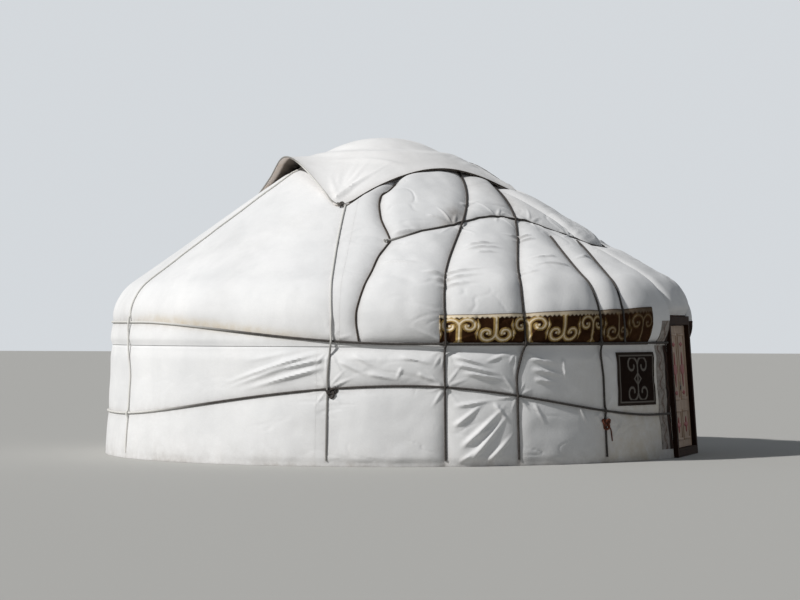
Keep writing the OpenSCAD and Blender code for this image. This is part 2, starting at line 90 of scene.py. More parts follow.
DEG = math.pi / 180
SIDES = (("left", -1), ("right", 1))
EAVE_IN = WALL_H * math.tan(LEAN)
SKEW_IN = POLE_W / 2 * CROWN_BACK / (BASE_R - EAVE_IN - CROWN_R)
FOOT_R = BASE_R - FELT_T - CLEAR - SKEW_IN
EAVE_R = FOOT_R - EAVE_IN
FRAME_HALF = DOOR_W / 2 + JAMB_W
DOOR_FELT_A = math.asin((FRAME_HALF + 8 * CLEAR) / EAVE_R) / DEG
BEND_S = BEND_R * math.cos(LEAN)
BEND_Z = WALL_H - BEND_R * math.sin(LEAN)
TUCK = 0.8 * (WALL_H - WALL_FELT_H)
TIGHT = FELT_T + CLEAR
RING_TOP = CROWN_Z + CROWN_H / 2
RING_IN = CROWN_R - CROWN_W
BAR_ARC = (RING_IN ** 2 + BAR_RISE ** 2) / (2 * BAR_RISE)
BAR_TOP = RING_TOP - BAR_T / 12 + BAR_RISE
ROUND_SAG = FOOT_R * (1 - math.cos(math.radians(2.5))) + BASE_R * (1 - math.cos(math.radians(1.5)))
WALL_DEG = BASE_R * DEG

# Sizes of the dressing
FELT_SKIN = 0.006
PANEL_SKIN = 0.008
THINNEST = 0.0025
NOISE_CELLS = 32
INNER_STEP = 3
ORNAMENT_CELL = 0.0075
ROPE_STEP = 0.014
ROPE_PITCH = 0.075
ROPE_SUNK = 0.42
SHARP_EDGE = 50
HOOK_A = 72
HOOK_SPAN = (55, 70)
BAND_FADE = 6
COVER_PULL_A = -75
BORDER_A = (10.45, 15.6)
COVER_COLS = 300
FAR = 9.0
SEGMENTS = ("front_left", "left", "rear_left", "back_left",
            "back_right", "rear_right", "right", "front_right")
POLES = [f"roof_poles_{s}" for s in SEGMENTS]

# Ropes of one side: direction at the top, share of the way up, bow, direction at the eave, and at the
# foot (None: it ends at the eave rope), how hard it presses, and how pale it is painted, a painted highlight
# where sunlit
Rope = namedtuple("Rope", "top share bow eave foot press pale")
DOWN = [Rope(*row) for row in (
    (21, 0.95, 1.9, 65, 65, 1, 0),
    (10, 0.8, 1.8, 50, 51.5, 1, 0),
    (25, 0.42, 2, 33.3, 32.5, 0.8, 0.04),
    (14, 0.4, 1.6, 27, None, 0.8, 0.04),
    (88.5, 0.65, 1, 85.5, 86, 0.3, 0.85),
    (140, 0.95, 1, 137, 136, 0.15, 1),
)]

# Cord along the edge of the front roof felts: directions off the door and how far up the roof
EDGE_CORD = ((80.5, -0.26), (81, -0.09), (81, 0.03), (80.5, 0.15), (80, 0.25), (78.5, 0.53), (77, 0.84),
             (75, 1.06), (74, 1.17), (74.5, 1.34), (76, 1.61), (76.5, 1.91), (75.5, 2.11), (72.5, 2.21),
             (69, 2.36))


# Shares and turns

def off(a, turn):
    """Turn from one direction to another, from -180 to 180 degrees."""
    return np.mod(a - turn + 180, 360) - 180


def from_door(a):
    return np.abs(off(a, 0))


def unit(x):
    return np.clip(x, 0, 1)


def ease(x, low, high):
    t = unit((x - low) / (high - low))
    return t * t * (3 - 2 * t)


def fade(x, low, high):
    return 1 - ease(x, low, high)


def bell(x, width):
    return np.exp(-(x / width) ** 2)


# Skin of the yurt

def direction(a):
    return np.sin(a * DEG), -np.cos(a * DEG)


def slopes(a):
    """By direction: run from eave to crown, slope above the bend, length of the bend and of the pole."""
    x, y = direction(a)
    run = np.hypot((CROWN_R - EAVE_R) * x, CROWN_BACK + (CROWN_R - EAVE_R) * y)
    rise_x, rise_z = run - BEND_S, CROWN_Z - BEND_Z
    span = np.hypot(rise_x, rise_z)
    slope = np.arctan2(rise_z, rise_x) - np.arcsin(BEND_R / span)
    bend = BEND_R * (math.pi / 2 - LEAN - slope)
    return run, slope, bend, bend + np.sqrt(span ** 2 - BEND_R ** 2)


def pole_length(a):
    return slopes(a)[3]


def skin(a, w, o):
    """Point w up the roof from the eave (below it where w < 0) and o out from the poles' faces."""
    a, w, o = np.broadcast_arrays(a, w, o)
    x, y = direction(a)
    run, slope, bend, _ = slopes(a)
    turn = math.pi / 2 - LEAN - np.clip(w, 0, bend) / BEND_R
    along, below = np.maximum(w - bend, 0), np.minimum(w, 0)
    s = BEND_S - (BEND_R + o) * np.sin(turn) + along * np.cos(slope) + below * math.sin(LEAN)
    z = BEND_Z + (BEND_R + o) * np.cos(turn) + along * np.sin(slope) + below * math.cos(LEAN)
    in_x, in_y = (CROWN_R - EAVE_R) * x / run, (CROWN_BACK + (CROWN_R - EAVE_R) * y) / run
    return np.stack([EAVE_R * x + in_x * s, EAVE_R * y + in_y * s, z], -1)


def lay(w):
    return CLEAR + SKEW_IN + TIGHT * unit(-w / TUCK)


def on_roof(a, w, o=0.0):
    """Point o above the outer face of the roof felt."""
    return skin(a, w, lay(w) + TIGHT + o)


def on_wall(a, z, o=0.0):
    """Point o outside the outer face of the wall felt."""
    x, y = direction(a)
    r = BASE_R + CLEAR - z * math.tan(LEAN) + o
    return np.stack(np.broadcast_arrays(r * x, r * y, z), -1)


def jamb_turn(z):
    """Direction of the door jamb's outer face at height z."""
    return np.arcsin((FRAME_HALF + CLEAR) / (BASE_R - z * math.tan(LEAN))) / DEG


def reach(a, w):
    """Length of one degree along the skin, in metres, at height w."""
    return (EAVE_R + (CROWN_R - EAVE_R) * unit(w / pole_length(a))) * DEG


def on_band(a):
    d = from_door(a)
    return unit(np.minimum((d - BAND_A0 + BAND_FADE) / BAND_FADE, (BAND_A1 + BAND_FADE - d) / BAND_FADE))


def band_top(a):
    """How far up the roof the ornament band reaches: it narrows towards its far end."""
    share = np.interp(from_door(a), (BAND_A0, BAND_A1), (1, BAND_TAPER))
    return np.maximum(0.004, -SKIRT_L + 2 * BAND_T + BAND_H * share)


def hooked(a):
    """Height of the wall rope, hooked up half way between the door and the back."""
    d = from_door(a) - HOOK_A
    turn = np.minimum(90, np.abs(d) * 90 / np.where(d < 0, *HOOK_SPAN))
    return HOOK_LOW + HOOK_UP * np.cos(turn * DEG) ** 2


def roof_rope_w(a):
    """The roof rope crosses the front felts between their edge cords, highest beside the door."""
    return np.interp(from_door(a), *zip(*ROOF_ROPE)) * pole_length(a)


def eave_rope_w(a):
    """The eave rope holds the skirt's hem beside the door and rises to the eave behind."""
    low, high = -SKIRT_L + RING_ROPE, -TUCK - RING_ROPE
    return low + (high - low) * ease(from_door(a), HOOK_A, HOOK_A + 60)


def rope_top(rope):
    """How far up the roof a down rope reaches."""
    return rope.share * float(pole_length(rope.eave))


def rope_direction(rope, w):
    """Direction of a down rope where it is w up the roof."""
    return rope.eave + (rope.top - rope.eave) * unit(w / rope_top(rope)) ** rope.bow


def edge_cord_gap(a, w):
    turn, up = zip(*EDGE_CORD)
    return np.abs(from_door(a) - np.interp(w, up, turn)) * reach(a, w)


# Lumps and folds of cloth

random_table = np.random.default_rng(7).random((NOISE_CELLS,) * 3)


def noise(p, size):
    """Smooth noise from -1 to 1 with lumps about size across, in metres."""
    q = p / size + 100
    cell = np.floor(q).astype(int)
    f = q - cell
    f = f * f * (3 - 2 * f)
    total = 0
    for corner in np.ndindex(2, 2, 2):
        c = np.array(corner)
        place = tuple(np.moveaxis((cell + c) % NOISE_CELLS, -1, 0))
        total = total + np.prod(np.where(c == 1, f, 1 - f), axis=-1) * random_table[place]
    return 2 * total - 1


def fold(u, v, start, end, width, height):
    """Ridge of cloth from start to end in the flat plane (u, v), which tapers out at its far end."""
    du, dv = end[0] - start[0], end[1] - start[1]
    length = math.hypot(du, dv)
    t = ((u - start[0]) * du + (v - start[1]) * dv) / length ** 2
    side = ((u - start[0]) * dv - (v - start[1]) * du) / length
    return height * ease(t, -0.08, 0.2) * fade(t, 0.35, 1.1) * bell(side, width * (1 - 0.4 * unit(t)))


def press(d, width):
    """0 on a rope or seam that presses the felt down, rising to 1 beside it."""
    return 1 - np.exp(-(np.abs(d) / width) ** 1.25)


def between_ropes(ropes, width):
    """How free the felt is beside down ropes, given as (distance, press), and how far the nearest is."""
    held, nearest = 1, FAR
    for gap, hold in ropes:
        held = held * (1 - hold * (1 - press(gap, width)))
        nearest = np.minimum(nearest, gap + 0.05 * (1 - hold))
    return held, nearest


def creases(p, size):
    """Network of soft creases between lumps about size across, longer sideways than up."""
    q = p * [1, 1, 3]
    bent = q + 0.5 * size * np.stack([noise(q, size), noise(q + 7, size), noise(q + 13, size)], -1)
    return bell(noise(bent + 31, size), 0.085) * ease(noise(q + 53, 2.2 * size), -0.25, 0.35)


def fan(rng, angles, sizes, widths, heights):
    """Folds that fan out from where ropes cross: start, end, width and height of each."""
    folds = []
    for angle in angles:
        way = (angle + rng.uniform(-9, 9)) * DEG
        size = rng.uniform(*sizes)
        ray = np.array([math.cos(way), math.sin(way)])
        folds.append((0.03 * ray, (0.03 + size) * ray, rng.uniform(*widths), rng.uniform(*heights)))
    return folds


def add_folds(total, crossings, a, up, degree, within, lively):
    for turn, level, folds in crossings:
        u, v = off(a, turn) * degree, up - level
        near = (np.abs(u) < within) & (np.abs(v) < within)
        for shape in folds:
            total[near] += fold(u[near], v[near], *shape) * lively[near]


def hollow(folds, a, up, strength):
    """Painted shade in the hollow under each fold."""
    return unit(strength * (folds(a, up + 0.012) - folds(a, up)))


# Meshes

def new_object(name, points, faces, mat, attributes, slot, node=None, body="structure"):
    """New piece on a body, in place of a CAD node where one is named."""
    mesh = bpy.data.meshes.new(name)
    mesh.from_pydata(np.asarray(points, float).tolist(), [], faces)
    mesh.validate()
    for key, values in attributes.items():
        layer = mesh.attributes.new(key, "FLOAT", "POINT")
        layer.data.foreach_set("value", np.asarray(values, np.float32).ravel())
    mesh.shade_smooth()
    mesh.set_sharp_from_angle(angle=math.radians(SHARP_EDGE))
    mesh.materials.append(mat)
    obj = bpy.data.objects.new(name, mesh)
    bpy.context.scene.collection.objects.link(obj)
    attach(obj, body)
    if node:
        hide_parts(node)
    return obj


def grid_faces(n, m, first=0, flip=False, loop=False):
    i, j = np.meshgrid(np.arange(n - 1), np.arange(m if loop else m - 1), indexing="ij")
    k = (j + 1) % m
    quads = np.stack([i * m + j, i * m + k, (i + 1) * m + k, (i + 1) * m + j], -1).reshape(-1, 4)
    return (quads[:, ::-1 if flip else 1] + first).tolist()


def zip_faces(fine, coarse, step):
    """Triangles between a fine edge and a coarse one that has each step-th of its points."""
    faces = []
    for k in range(len(coarse) - 1):
        low = k * step
        middle = low + step // 2
        faces += [[fine[i], coarse[k], fine[i + 1]] for i in range(low, middle)]
        faces.append([fine[middle], coarse[k], coarse[k + 1]])
        faces += [[fine[i], coarse[k + 1], fine[i + 1]] for i in range(middle, low + step)]
    return faces


def low_pass(values, step):
    """Lowest value within step cells of each point."""
    for axis, n in enumerate(values.shape):
        padded = np.pad(values, [(step, step) if k == axis else (0, 0) for k in (0, 1)], mode="edge")
        values = np.min([padded.take(range(s, s + n), axis=axis) for s in range(2 * step + 1)], axis=0)
    return values


def cells(length, size):
    """Number of grid points for cells of about that size, which the inner face can thin out."""
    return max(1, round(length / size / INNER_STEP)) * INNER_STEP + 1


def cloth_grid(width, height, size, size_up=None):
    """Shares of the way across and up a cloth, on a grid with cells of about that size."""
    return np.meshgrid(np.linspace(0, 1, cells(width, size)),
                       np.linspace(0, 1, cells(height, size_up or size)))


def felt_shell(name, place, a, w, offset, mat, attributes, slot, node=None, thickness=FELT_SKIN, floor=None):
    """Closed felt from a fine outer face, place(a, w, offset), and a thinned-out inner face."""
    lowest = low_pass(offset, INNER_STEP - 1)
    inside = lowest - thickness
    if floor is not None:
        inside = np.minimum(np.maximum(inside, floor), lowest - THINNEST)
    thin = (slice(None, None, INNER_STEP),) * 2
    outer, inner = place(a, w, offset), place(a[thin], w[thin], inside[thin])
    (n, m), (rows, cols) = a.shape, inner.shape[:2]
    fine, coarse = np.arange(n * m).reshape(n, m), n * m + np.arange(rows * cols).reshape(rows, cols)
    faces = grid_faces(n, m) + grid_faces(rows, cols, n * m, flip=True)
    there, back = slice(None), slice(None, None, -1)
    for rim in ((0, there), (there, -1), (-1, back), (back, 0)):
        faces += zip_faces(fine[rim].tolist(), coarse[rim].tolist(), INNER_STEP)
    values = {key: np.concatenate([value.ravel(), value[thin].ravel()]) for key, value in attributes.items()}
    hidden = np.zeros((rows, cols))
    hidden[1:-1, 1:-1] = 1
    values["inside"] = np.concatenate([np.zeros(n * m), hidden.ravel()])
    points = np.concatenate([outer.reshape(-1, 3), inner.reshape(-1, 3)])
    return new_object(name, points, faces, mat, values, slot, node)


def with_ends(p):
    return np.concatenate([2 * p[:1] - p[1:2], p, 2 * p[-1:] - p[-2:-1]])


def catmull_rom(q, steps):
    """Rows between the second one and the last but one, on Catmull-Rom curves."""
    t = np.linspace(0, 1, steps, endpoint=False).reshape(-1, *[1] * (q.ndim - 1))
    return np.concatenate([
        b + 0.5 * t * (c - a) + t ** 2 * (a - 2.5 * b + 2 * c - 0.5 * d)
        + t ** 3 * (1.5 * (b - c) + 0.5 * (d - a))
        for a, b, c, d in zip(q, q[1:], q[2:], q[3:])])


def smooth_path(points, spacing=ROPE_STEP, loop=False):
    """Points at an even spacing along a Catmull-Rom curve through the given ones."""
    p = np.asarray(points, float)
    q = np.concatenate([p[-1:], p, p[:2]]) if loop else with_ends(p)
    dense = np.concatenate([catmull_rom(q, 12), p[:1] if loop else p[-1:]])
    length = np.concatenate([[0], np.cumsum(np.linalg.norm(np.diff(dense, axis=0), axis=1))])
    even = np.linspace(0, length[-1], max(4, int(length[-1] / spacing)) + 1)
    result = np.stack([np.interp(even, length, dense[:, k]) for k in range(3)], -1)
    return result[:-1] if loop else result


def unit_vectors(v):
    return v / np.linalg.norm(v, axis=-1, keepdims=True)


class Bundle:
    """Several tubes and boards that become one mesh."""

    def __init__(self, pale=lambda a, z: 0 * a):
        self.pale = pale
        self.points, self.values, self.faces, self.count = [], [], [], 0

    def add(self, points, faces):
        points = points.reshape(-1, 3)
        turn = np.degrees(np.arctan2(points[:, 0], -points[:, 1]))
        self.values.append(unit(self.pale(turn, points[:, 2])))
        self.faces += [[i + self.count for i in face] for face in faces]
        self.points.append(points)
        self.count += len(points)

    def tube(self, path, diameter, sides=9, loop=False, lobes=3):
        """Laid rope round a path, with lobes strands that turn once in ROPE_PITCH."""
        n = len(path)
        ahead = np.roll(path, -1, 0) - np.roll(path, 1, 0)
        if not loop:
            ahead[0], ahead[-1] = path[1] - path[0], path[-1] - path[-2]
        ahead = unit_vectors(ahead)
        side = unit_vectors(np.cross(ahead, path - [0, 0, 1.2]))
        up = np.cross(side, ahead)
        turns = np.linalg.norm(path[1] - path[0]) * n / ROPE_PITCH
        turns = round(turns) if loop else turns
        angle = np.linspace(0, 2 * math.pi, sides, endpoint=False)
        twist = (np.arange(n) / n * turns * 2 * math.pi)[:, None]
        radius = diameter / 2 * (0.78 + 0.26 * np.abs(np.cos(lobes / 2 * (angle - twist))))
        rings = (path[:, None] + side[:, None] * (radius * np.cos(angle))[..., None]
                 + up[:, None] * (radius * np.sin(angle))[..., None])
        faces, last = grid_faces(n, sides, loop=True), (n - 1) * sides
        if loop:
            faces += [[last + j, last + (j + 1) % sides, (j + 1) % sides, j] for j in range(sides)]
        else:
            faces += [list(range(sides))[::-1], [last + j for j in range(sides)]]
        self.add(rings, faces)

    def knot(self, centre, size, diameter, out=None):
        """A trefoil of rope, pressed flat against what it lies on."""
        out = unit_vectors(np.array([centre[0], centre[1], 0.3] if out is None else out))
        side = unit_vectors(np.cross([0, 0, 1], out))
        up = np.cross(out, side)
        t = np.linspace(0, 2 * math.pi, 48, endpoint=False)[:, None]
        x, y, z = np.sin(t) + 2 * np.sin(2 * t), np.cos(t) - 2 * np.cos(2 * t), -np.sin(3 * t)
        self.tube(centre + size / 3 * (x * side + y * up) + diameter * 0.45 * z * out, diameter, 7, True)

    def finish(self, name, mat, slot="rope", **piece):
        values = {"pale": np.concatenate(self.values)}
        return new_object(name, np.concatenate(self.points), self.faces, mat, values, slot, **piece)


# Materials

def material(name, colour, roughness, **sockets):
    mat = bpy.data.materials.new(name)
    mat.use_nodes = True
    shader = mat.node_tree.nodes["Principled BSDF"]
    shader.inputs["Base Color"].default_value = (*colour, 1)
    shader.inputs["Roughness"].default_value = roughness
    for key, value in sockets.items():
        shader.inputs[key.replace("_", " ")].default_value = value
    return mat


class Nodes:
    """Short calls for the nodes of one material."""

    def __init__(self, mat):
        self.tree = mat.node_tree
        self.shader = self.tree.nodes["Principled BSDF"].inputs
        self.place = self.add("ShaderNodeTexCoord").outputs["Object"]

    def add(self, kind, inputs=None, **settings):
        node = self.tree.nodes.new(kind)
        for key, value in settings.items():
            setattr(node, key, value)
        for key, value in (inputs or {}).items():
            self.put(value, node.inputs[key])
        return node

    def put(self, value, socket):
        if hasattr(value, "is_output"):
            self.tree.links.new(value, socket)
        elif hasattr(value, "__len__"):
            socket.default_value = (*value, 1)[:len(socket.default_value)]
        else:
            socket.default_value = value

    def noise(self, scale, detail=4.0, rough=0.55, stretch=(1, 1, 1), distortion=0.0):
        mapping = self.add("ShaderNodeMapping", {"Scale": stretch, "Vector": self.place})
        inputs = {"Scale": scale, "Detail": detail, "Roughness": rough, "Distortion": distortion}
        return self.add("ShaderNodeTexNoise", {**inputs, "Vector": mapping.outputs["Vector"]}).outputs["Fac"]

    def ramp(self, value, stops):
        node = self.add("ShaderNodeValToRGB", {"Fac": value})
        for element, (place, colour) in zip(node.color_ramp.elements, stops):
            element.position = place
            element.color = (*colour, 1) if hasattr(colour, "__len__") else (colour, colour, colour, 1)
        return node.outputs["Color"]

    def mask(self, scale, detail, rough, low, high, most=1.0, least=0.0, stretch=(1, 1, 1)):
        """Noise spread from least where it is low to most where it is high."""
        return self.ramp(self.noise(scale, detail, rough, stretch), ((low, least), (high, most)))

    def attribute(self, name):
        return self.add("ShaderNodeAttribute", attribute_name=name).outputs["Fac"]

    def mix(self, factor, a, b):
        return self.add("ShaderNodeMix", {0: factor, 6: a, 7: b}, data_type="RGBA").outputs[2]

    def maths(self, operation, a, b):
        return self.add("ShaderNodeMath", {0: a, 1: b}, operation=operation).outputs[0]

    def bump(self, *layers, under=None):
        """Bump from (height, strength, distance) layers, one over the other."""
        for height, strength, distance in layers:
            inputs = {"Height": height, "Strength": strength, "Distance": distance}
            inputs.update({"Normal": under} if under else {})
            under = self.add("ShaderNodeBump", inputs).outputs["Normal"]
        self.put(under, self.shader["Normal"])

    def colour(self, value):
        self.put(value, self.shader["Base Color"])


def felt_material(name, light, dark, inner, stain=(0.62, 0.50, 0.30)):
    mat = material(name, light, 0.93, Specular_IOR_Level=0.2, Sheen_Weight=0.12, Sheen_Roughness=0.6)
    n = Nodes(mat)
    tone = n.mix(n.mask(1.1, 7, 0.6, 0.36, 0.68), light, dark)
    tone = n.mix(n.mask(46, 5, 0.7, 0.40, 0.72, 0.22), tone, dark)
    tone = n.mix(n.mask(2.6, 5, 0.65, 0.52, 0.78, 0.35, stretch=(1, 1, 0.22)), tone, [0.9 * c for c in dark])
    uneven = n.mask(9, 5, 0.7, 0.30, 0.70, least=0.35)
    # The first attribute darkens the felt with dirt and with painted shade in creases and hollows; the
    # second tints it with a stain.
    for key, colour in (("dirt", (0.30, 0.27, 0.24)), ("stain", stain)):
        tone = n.mix(n.maths("MULTIPLY", n.attribute(key), uneven), tone, colour)
    n.colour(n.mix(n.attribute("inside"), tone, inner))
    n.bump((n.noise(38, 6, 0.7), 0.35, 0.006), (n.noise(260, 3, 0.6), 0.25, 0.002))
    return mat


def rope_material(name, light, dark):
    mat = material(name, light, 0.9, Specular_IOR_Level=0.2)
    n = Nodes(mat)
    tone = n.ramp(n.noise(30, 5, 0.7), ((0.3, dark), (0.7, light)))
    # The rope is painted pale where sunlit: a painted highlight.
    n.colour(n.mix(n.attribute("pale"), tone, (0.70, 0.69, 0.66)))
    n.bump((n.noise(240, 4, 0.7), 0.6, 0.003))
    return mat


def wood_material(name, light, dark, stretch, grain=26, roughness=0.55, worn=None):
    """Planed wood with grain along the axis that stretch makes small, and edges worn by use."""
    mat = material(name, light, roughness, Specular_IOR_Level=0.35 if light[0] > 0.1 else 0.03)
    n = Nodes(mat)
    fine = n.noise(grain, 8, 0.65, stretch, 0.6)
    broad = n.noise(grain * 0.22, 4, 0.6, stretch, 1.2)
    tone = n.ramp(n.maths("ADD", n.maths("MULTIPLY", fine, 0.55), n.maths("MULTIPLY", broad, 0.45)),
                  ((0.34, dark), (0.62, light)))
    n.colour(n.mix(n.mask(3.1, 6, 0.7, 0.45, 0.75, 0.5), tone, worn or dark))
    edge = n.add("ShaderNodeBevel", {"Radius": 0.003}, samples=4)
    n.bump((fine, 0.4, 0.002), under=edge.outputs["Normal"])
    return mat


def ornament_material(name, ground, fill, line, ground_dark):
    mat = material(name, ground, 0.95, Specular_IOR_Level=0.06)
    n = Nodes(mat)
    base = n.mix(n.mask(7, 6, 0.7, 0.35, 0.7), ground, ground_dark)
    inlay = n.mix(n.mask(16, 5, 0.7, 0.3, 0.75, 0.7), fill, ground_dark)
    tone = n.mix(n.attribute("fill"), base, inlay)
    n.colour(n.mix(n.attribute("line"), tone, line))
    n.bump((n.noise(60, 6, 0.7), 0.4, 0.004), (n.noise(320, 3, 0.6), 0.4, 0.002))
    return mat


WHITE, WHITE_SHADE, BARE_FELT = (0.80, 0.80, 0.80), (0.68, 0.685, 0.69), (0.58, 0.50, 0.38)
WHITE_FELT = felt_material("white_wall_felt", WHITE, WHITE_SHADE, BARE_FELT)
ROOF_FELT = felt_material("white_roof_felt", WHITE, WHITE_SHADE, BARE_FELT)
# The cover's inner colour is painted shade: its underside turns dark brown away from the rim.
COVER_FELT = felt_material("cover_felt", (0.85, 0.845, 0.84), (0.73, 0.725, 0.72), (0.13, 0.10, 0.075),
                           stain=(0.66, 0.50, 0.38))
DARK_ROPE = rope_material("dark_hair_rope", (0.075, 0.066, 0.060), (0.025, 0.021, 0.019))
HEM_ROPE = rope_material("hem_rope", (0.085, 0.070, 0.058), (0.025, 0.019, 0.015))
RED_ROPE = rope_material("red_brown_rope", (0.17, 0.060, 0.035), (0.07, 0.025, 0.016))
LATTICE_WOOD = wood_material("lattice_willow", (0.40, 0.19, 0.085), (0.22, 0.085, 0.035), (1, 1, 0.25))
POLE_WOOD = wood_material("red_pole_wood", (0.34, 0.085, 0.030), (0.17, 0.035, 0.014), (0.4, 0.4, 1))
CROWN_WOOD = wood_material("red_crown_wood", (0.33, 0.075, 0.028), (0.15, 0.03, 0.013), (0.4, 0.4, 1))
BLACK_WOOD = (0.028, 0.013, 0.008), (0.008, 0.004, 0.003)
BLACK_WORN = 40, 0.65, (0.05, 0.026, 0.016)
FRAME_WOOD = wood_material("dark_frame_wood", *BLACK_WOOD, (1, 1, 0.06), *BLACK_WORN)
BEAM_WOOD = wood_material("dark_beam_wood", *BLACK_WOOD, (0.06, 1, 1), *BLACK_WORN)
PLANED = (1, 1, 0.06), 34, 0.6
DOOR_WOOD = wood_material("tan_door_wood", (0.37, 0.255, 0.17), (0.22, 0.145, 0.10), *PLANED,
                          (0.31, 0.225, 0.17))
RED_PAINT = wood_material("red_door_paint", (0.27, 0.032, 0.026), (0.13, 0.016, 0.014), *PLANED,
                          (0.19, 0.05, 0.04))
BAND_FELT = ornament_material("ornament_band_felt", (0.022, 0.008, 0.003), (0.56, 0.38, 0.13),
                              (0.84, 0.72, 0.54), (0.055, 0.024, 0.010))
PANEL_FELT = ornament_material("ornament_panel_felt", (0.008, 0.004, 0.003), (0.045, 0.034, 0.028),
                               (0.15, 0.135, 0.12), (0.016, 0.009, 0.006))
BORDER_FELT = ornament_material("door_border_felt", (0.018, 0.012, 0.010), (0.40, 0.365, 0.335),
                                (0.12, 0.06, 0.045), (0.03, 0.02, 0.016))
IRON = material("dark_iron", (0.05, 0.045, 0.04), 0.5, Metallic=0.9)

for mat, names in (
        (LATTICE_WOOD, [f"lattice_{s}" for s in SEGMENTS]),
        (POLE_WOOD, POLES),
        (CROWN_WOOD, ("crown_ring", "crown_bars")),
        (FRAME_WOOD, ("jamb_left", "jamb_right")),
        (BEAM_WOOD, ("lintel", "threshold")),
        (DOOR_WOOD, ("door_leaf_left", "door_leaf_right"))):
    for name in names:
        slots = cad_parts[name].data.materials
        slots.clear()
        slots.append(mat)


# Roof felts

def rope_gap(a, w, rope, side):
    """Distance of skin points from a down rope, in metres."""
    slant = (rope_direction(rope, w + 0.03) - rope_direction(rope, w - 0.03)) / 0.06 * reach(a, w)
    across = off(a, side * rope_direction(rope, w)) * reach(a, w) / np.sqrt(1 + slant ** 2)
    return np.hypot(across, np.maximum(0, w - rope_top(rope)))


def cover_edge(a):
    """Distance from the crown's middle to the cover's hollow-cut edge, pulled down on the left."""
    edge = np.minimum(COVER_HALF / np.cos((np.mod(a, 90) - 45) * DEG) ** COVER_HOLLOW, COVER_CORNER)
    return edge + COVER_PULL * np.maximum(0, np.cos((a - COVER_PULL_A) * DEG))


def cover_reach(a):
    """How far up the poles the crown cover's edge comes down."""
    _, slope, _, length = slopes(a)
    return length - (cover_edge(a) - CROWN_R) / np.cos(slope)


# Folds where ropes cross on the roof: direction, height up the roof, and the folds
CROSSINGS = []
rng = np.random.default_rng(11)
for side, rope, high in product((-1, 1), DOWN[:5], (True, False)):
    turn = side * float(rope_direction(rope, 1.35 if high else 0.0))
    angles = (-160, -125, -70, -30, 20, 55, 110, 150) if high else (25, 60, 95, 130, 160)
    CROSSINGS.append((turn, float((roof_rope_w if high else eave_rope_w)(turn)),
                      fan(rng, angles, (0.16, 0.36), (0.013, 0.022), (0.008, 0.016))))

# Short folds between the ropes on the roof beside the door: direction and height at both ends, width, depth
PUCKERS = (
    (56, 1.02, 47, 1.06, 0.018, 0.022), (57, 0.93, 46, 0.98, 0.016, 0.020),
    (55, 0.84, 49, 0.86, 0.015, 0.016), (34, 1.27, 43, 1.30, 0.018, 0.024),
    (34.5, 1.19, 42, 1.21, 0.017, 0.020), (68, 0.46, 55, 0.54, 0.022, 0.030),
    (67, 0.37, 56, 0.43, 0.019, 0.026), (66, 0.29, 58, 0.33, 0.017, 0.018),
    (35, 0.80, 43, 0.78, 0.020, 0.018), (34, 0.62, 43, 0.63, 0.018, 0.018),
    (22, 0.84, 29, 0.80, 0.018, 0.017), (47, 1.95, 38, 2.02, 0.020, 0.015),
    (73, 1.30, 64, 1.42, 0.020, 0.017), (76, 0.70, 68, 0.62, 0.022, 0.017),
    (44, 0.48, 50, 0.52, 0.016, 0.014), (62, 1.62, 55, 1.56, 0.018, 0.016),
)


def puckers(a, w):
    total = np.zeros_like(w)
    d, here = from_door(a), reach(a, w)
    for a0, w0, a1, w1, width, height in PUCKERS:
        u = (d - (a0 + a1) / 2) * here
        near = (np.abs(u) < 0.6) & (np.abs(w - (w0 + w1) / 2) < 0.4)
        if near.any():
            half = (a1 - a0) / 2 * float(here[near].mean())
            total[near] += fold(u[near], w[near], (-half, w0), (half, w1), width, height)
    return total


def roof_puff(a, w):
    """How far the roof felt stands out between the ropes that press it down, and the nearest rope."""
    p, here, d = on_roof(a, w), reach(a, w), from_door(a)
    held, nearest = between_ropes([(rope_gap(a, w, rope, side), rope.press)
                                   for side, rope in product((-1, 1), DOWN)], 0.105)
    ring_gap = np.hypot(w - roof_rope_w(a), np.maximum(0, d - ROOF_ROPE_A) * here)
    for gap, width in ((edge_cord_gap(a, w), 0.09), (ring_gap, 0.11), (w - eave_rope_w(a), 0.10)):
        held *= press(gap, width)
        nearest = np.minimum(nearest, np.abs(gap))
    lively = 1 - 0.72 * ease(d, 70, 94)
    total = held * ((0.072 + 0.026 * noise(p, 0.75)) * lively + 0.002)
    total += held * (0.0125 * noise(p, 0.30) + 0.0045 * noise(p, 0.12)) * lively
    total -= 0.006 * creases(p, 0.34) * np.minimum(1, 1.4 * held) * lively
    add_folds(total, CROSSINGS, a, w, here, 0.5, lively)
    return total + puckers(a, w), nearest


def roof_offset(a, w):
    """Height of the roof felt's dressed outer face above the poles, and the nearest rope."""
    a, w = np.broadcast_arrays(np.asarray(a, float), np.asarray(w, float))
    d, here = from_door(a), reach(a, w)
    puff, nearest = roof_puff(a, w)
    covered = fade(w, cover_reach(a) - 0.05, cover_reach(a) + 0.12)
    over_door = d < DOOR_FELT_A
    skirt = np.where(over_door, ease(w, 0, 0.08), ease(w, -SKIRT_L, -SKIRT_L + 0.06))
    seam = press((d - DOOR_FELT_A) * here, 0.05) * press((d - 180) * here, 0.04)
    eased = np.maximum(0, TIGHT * fade(w, -TUCK, 0.22) - (lay(w) - lay(1.0)))
    base = lay(w) + TIGHT + np.where(over_door, 0, eased)
    return base + puff * seam * covered * (0.15 + 0.85 * skirt) - 0.004 * (1 - seam), nearest


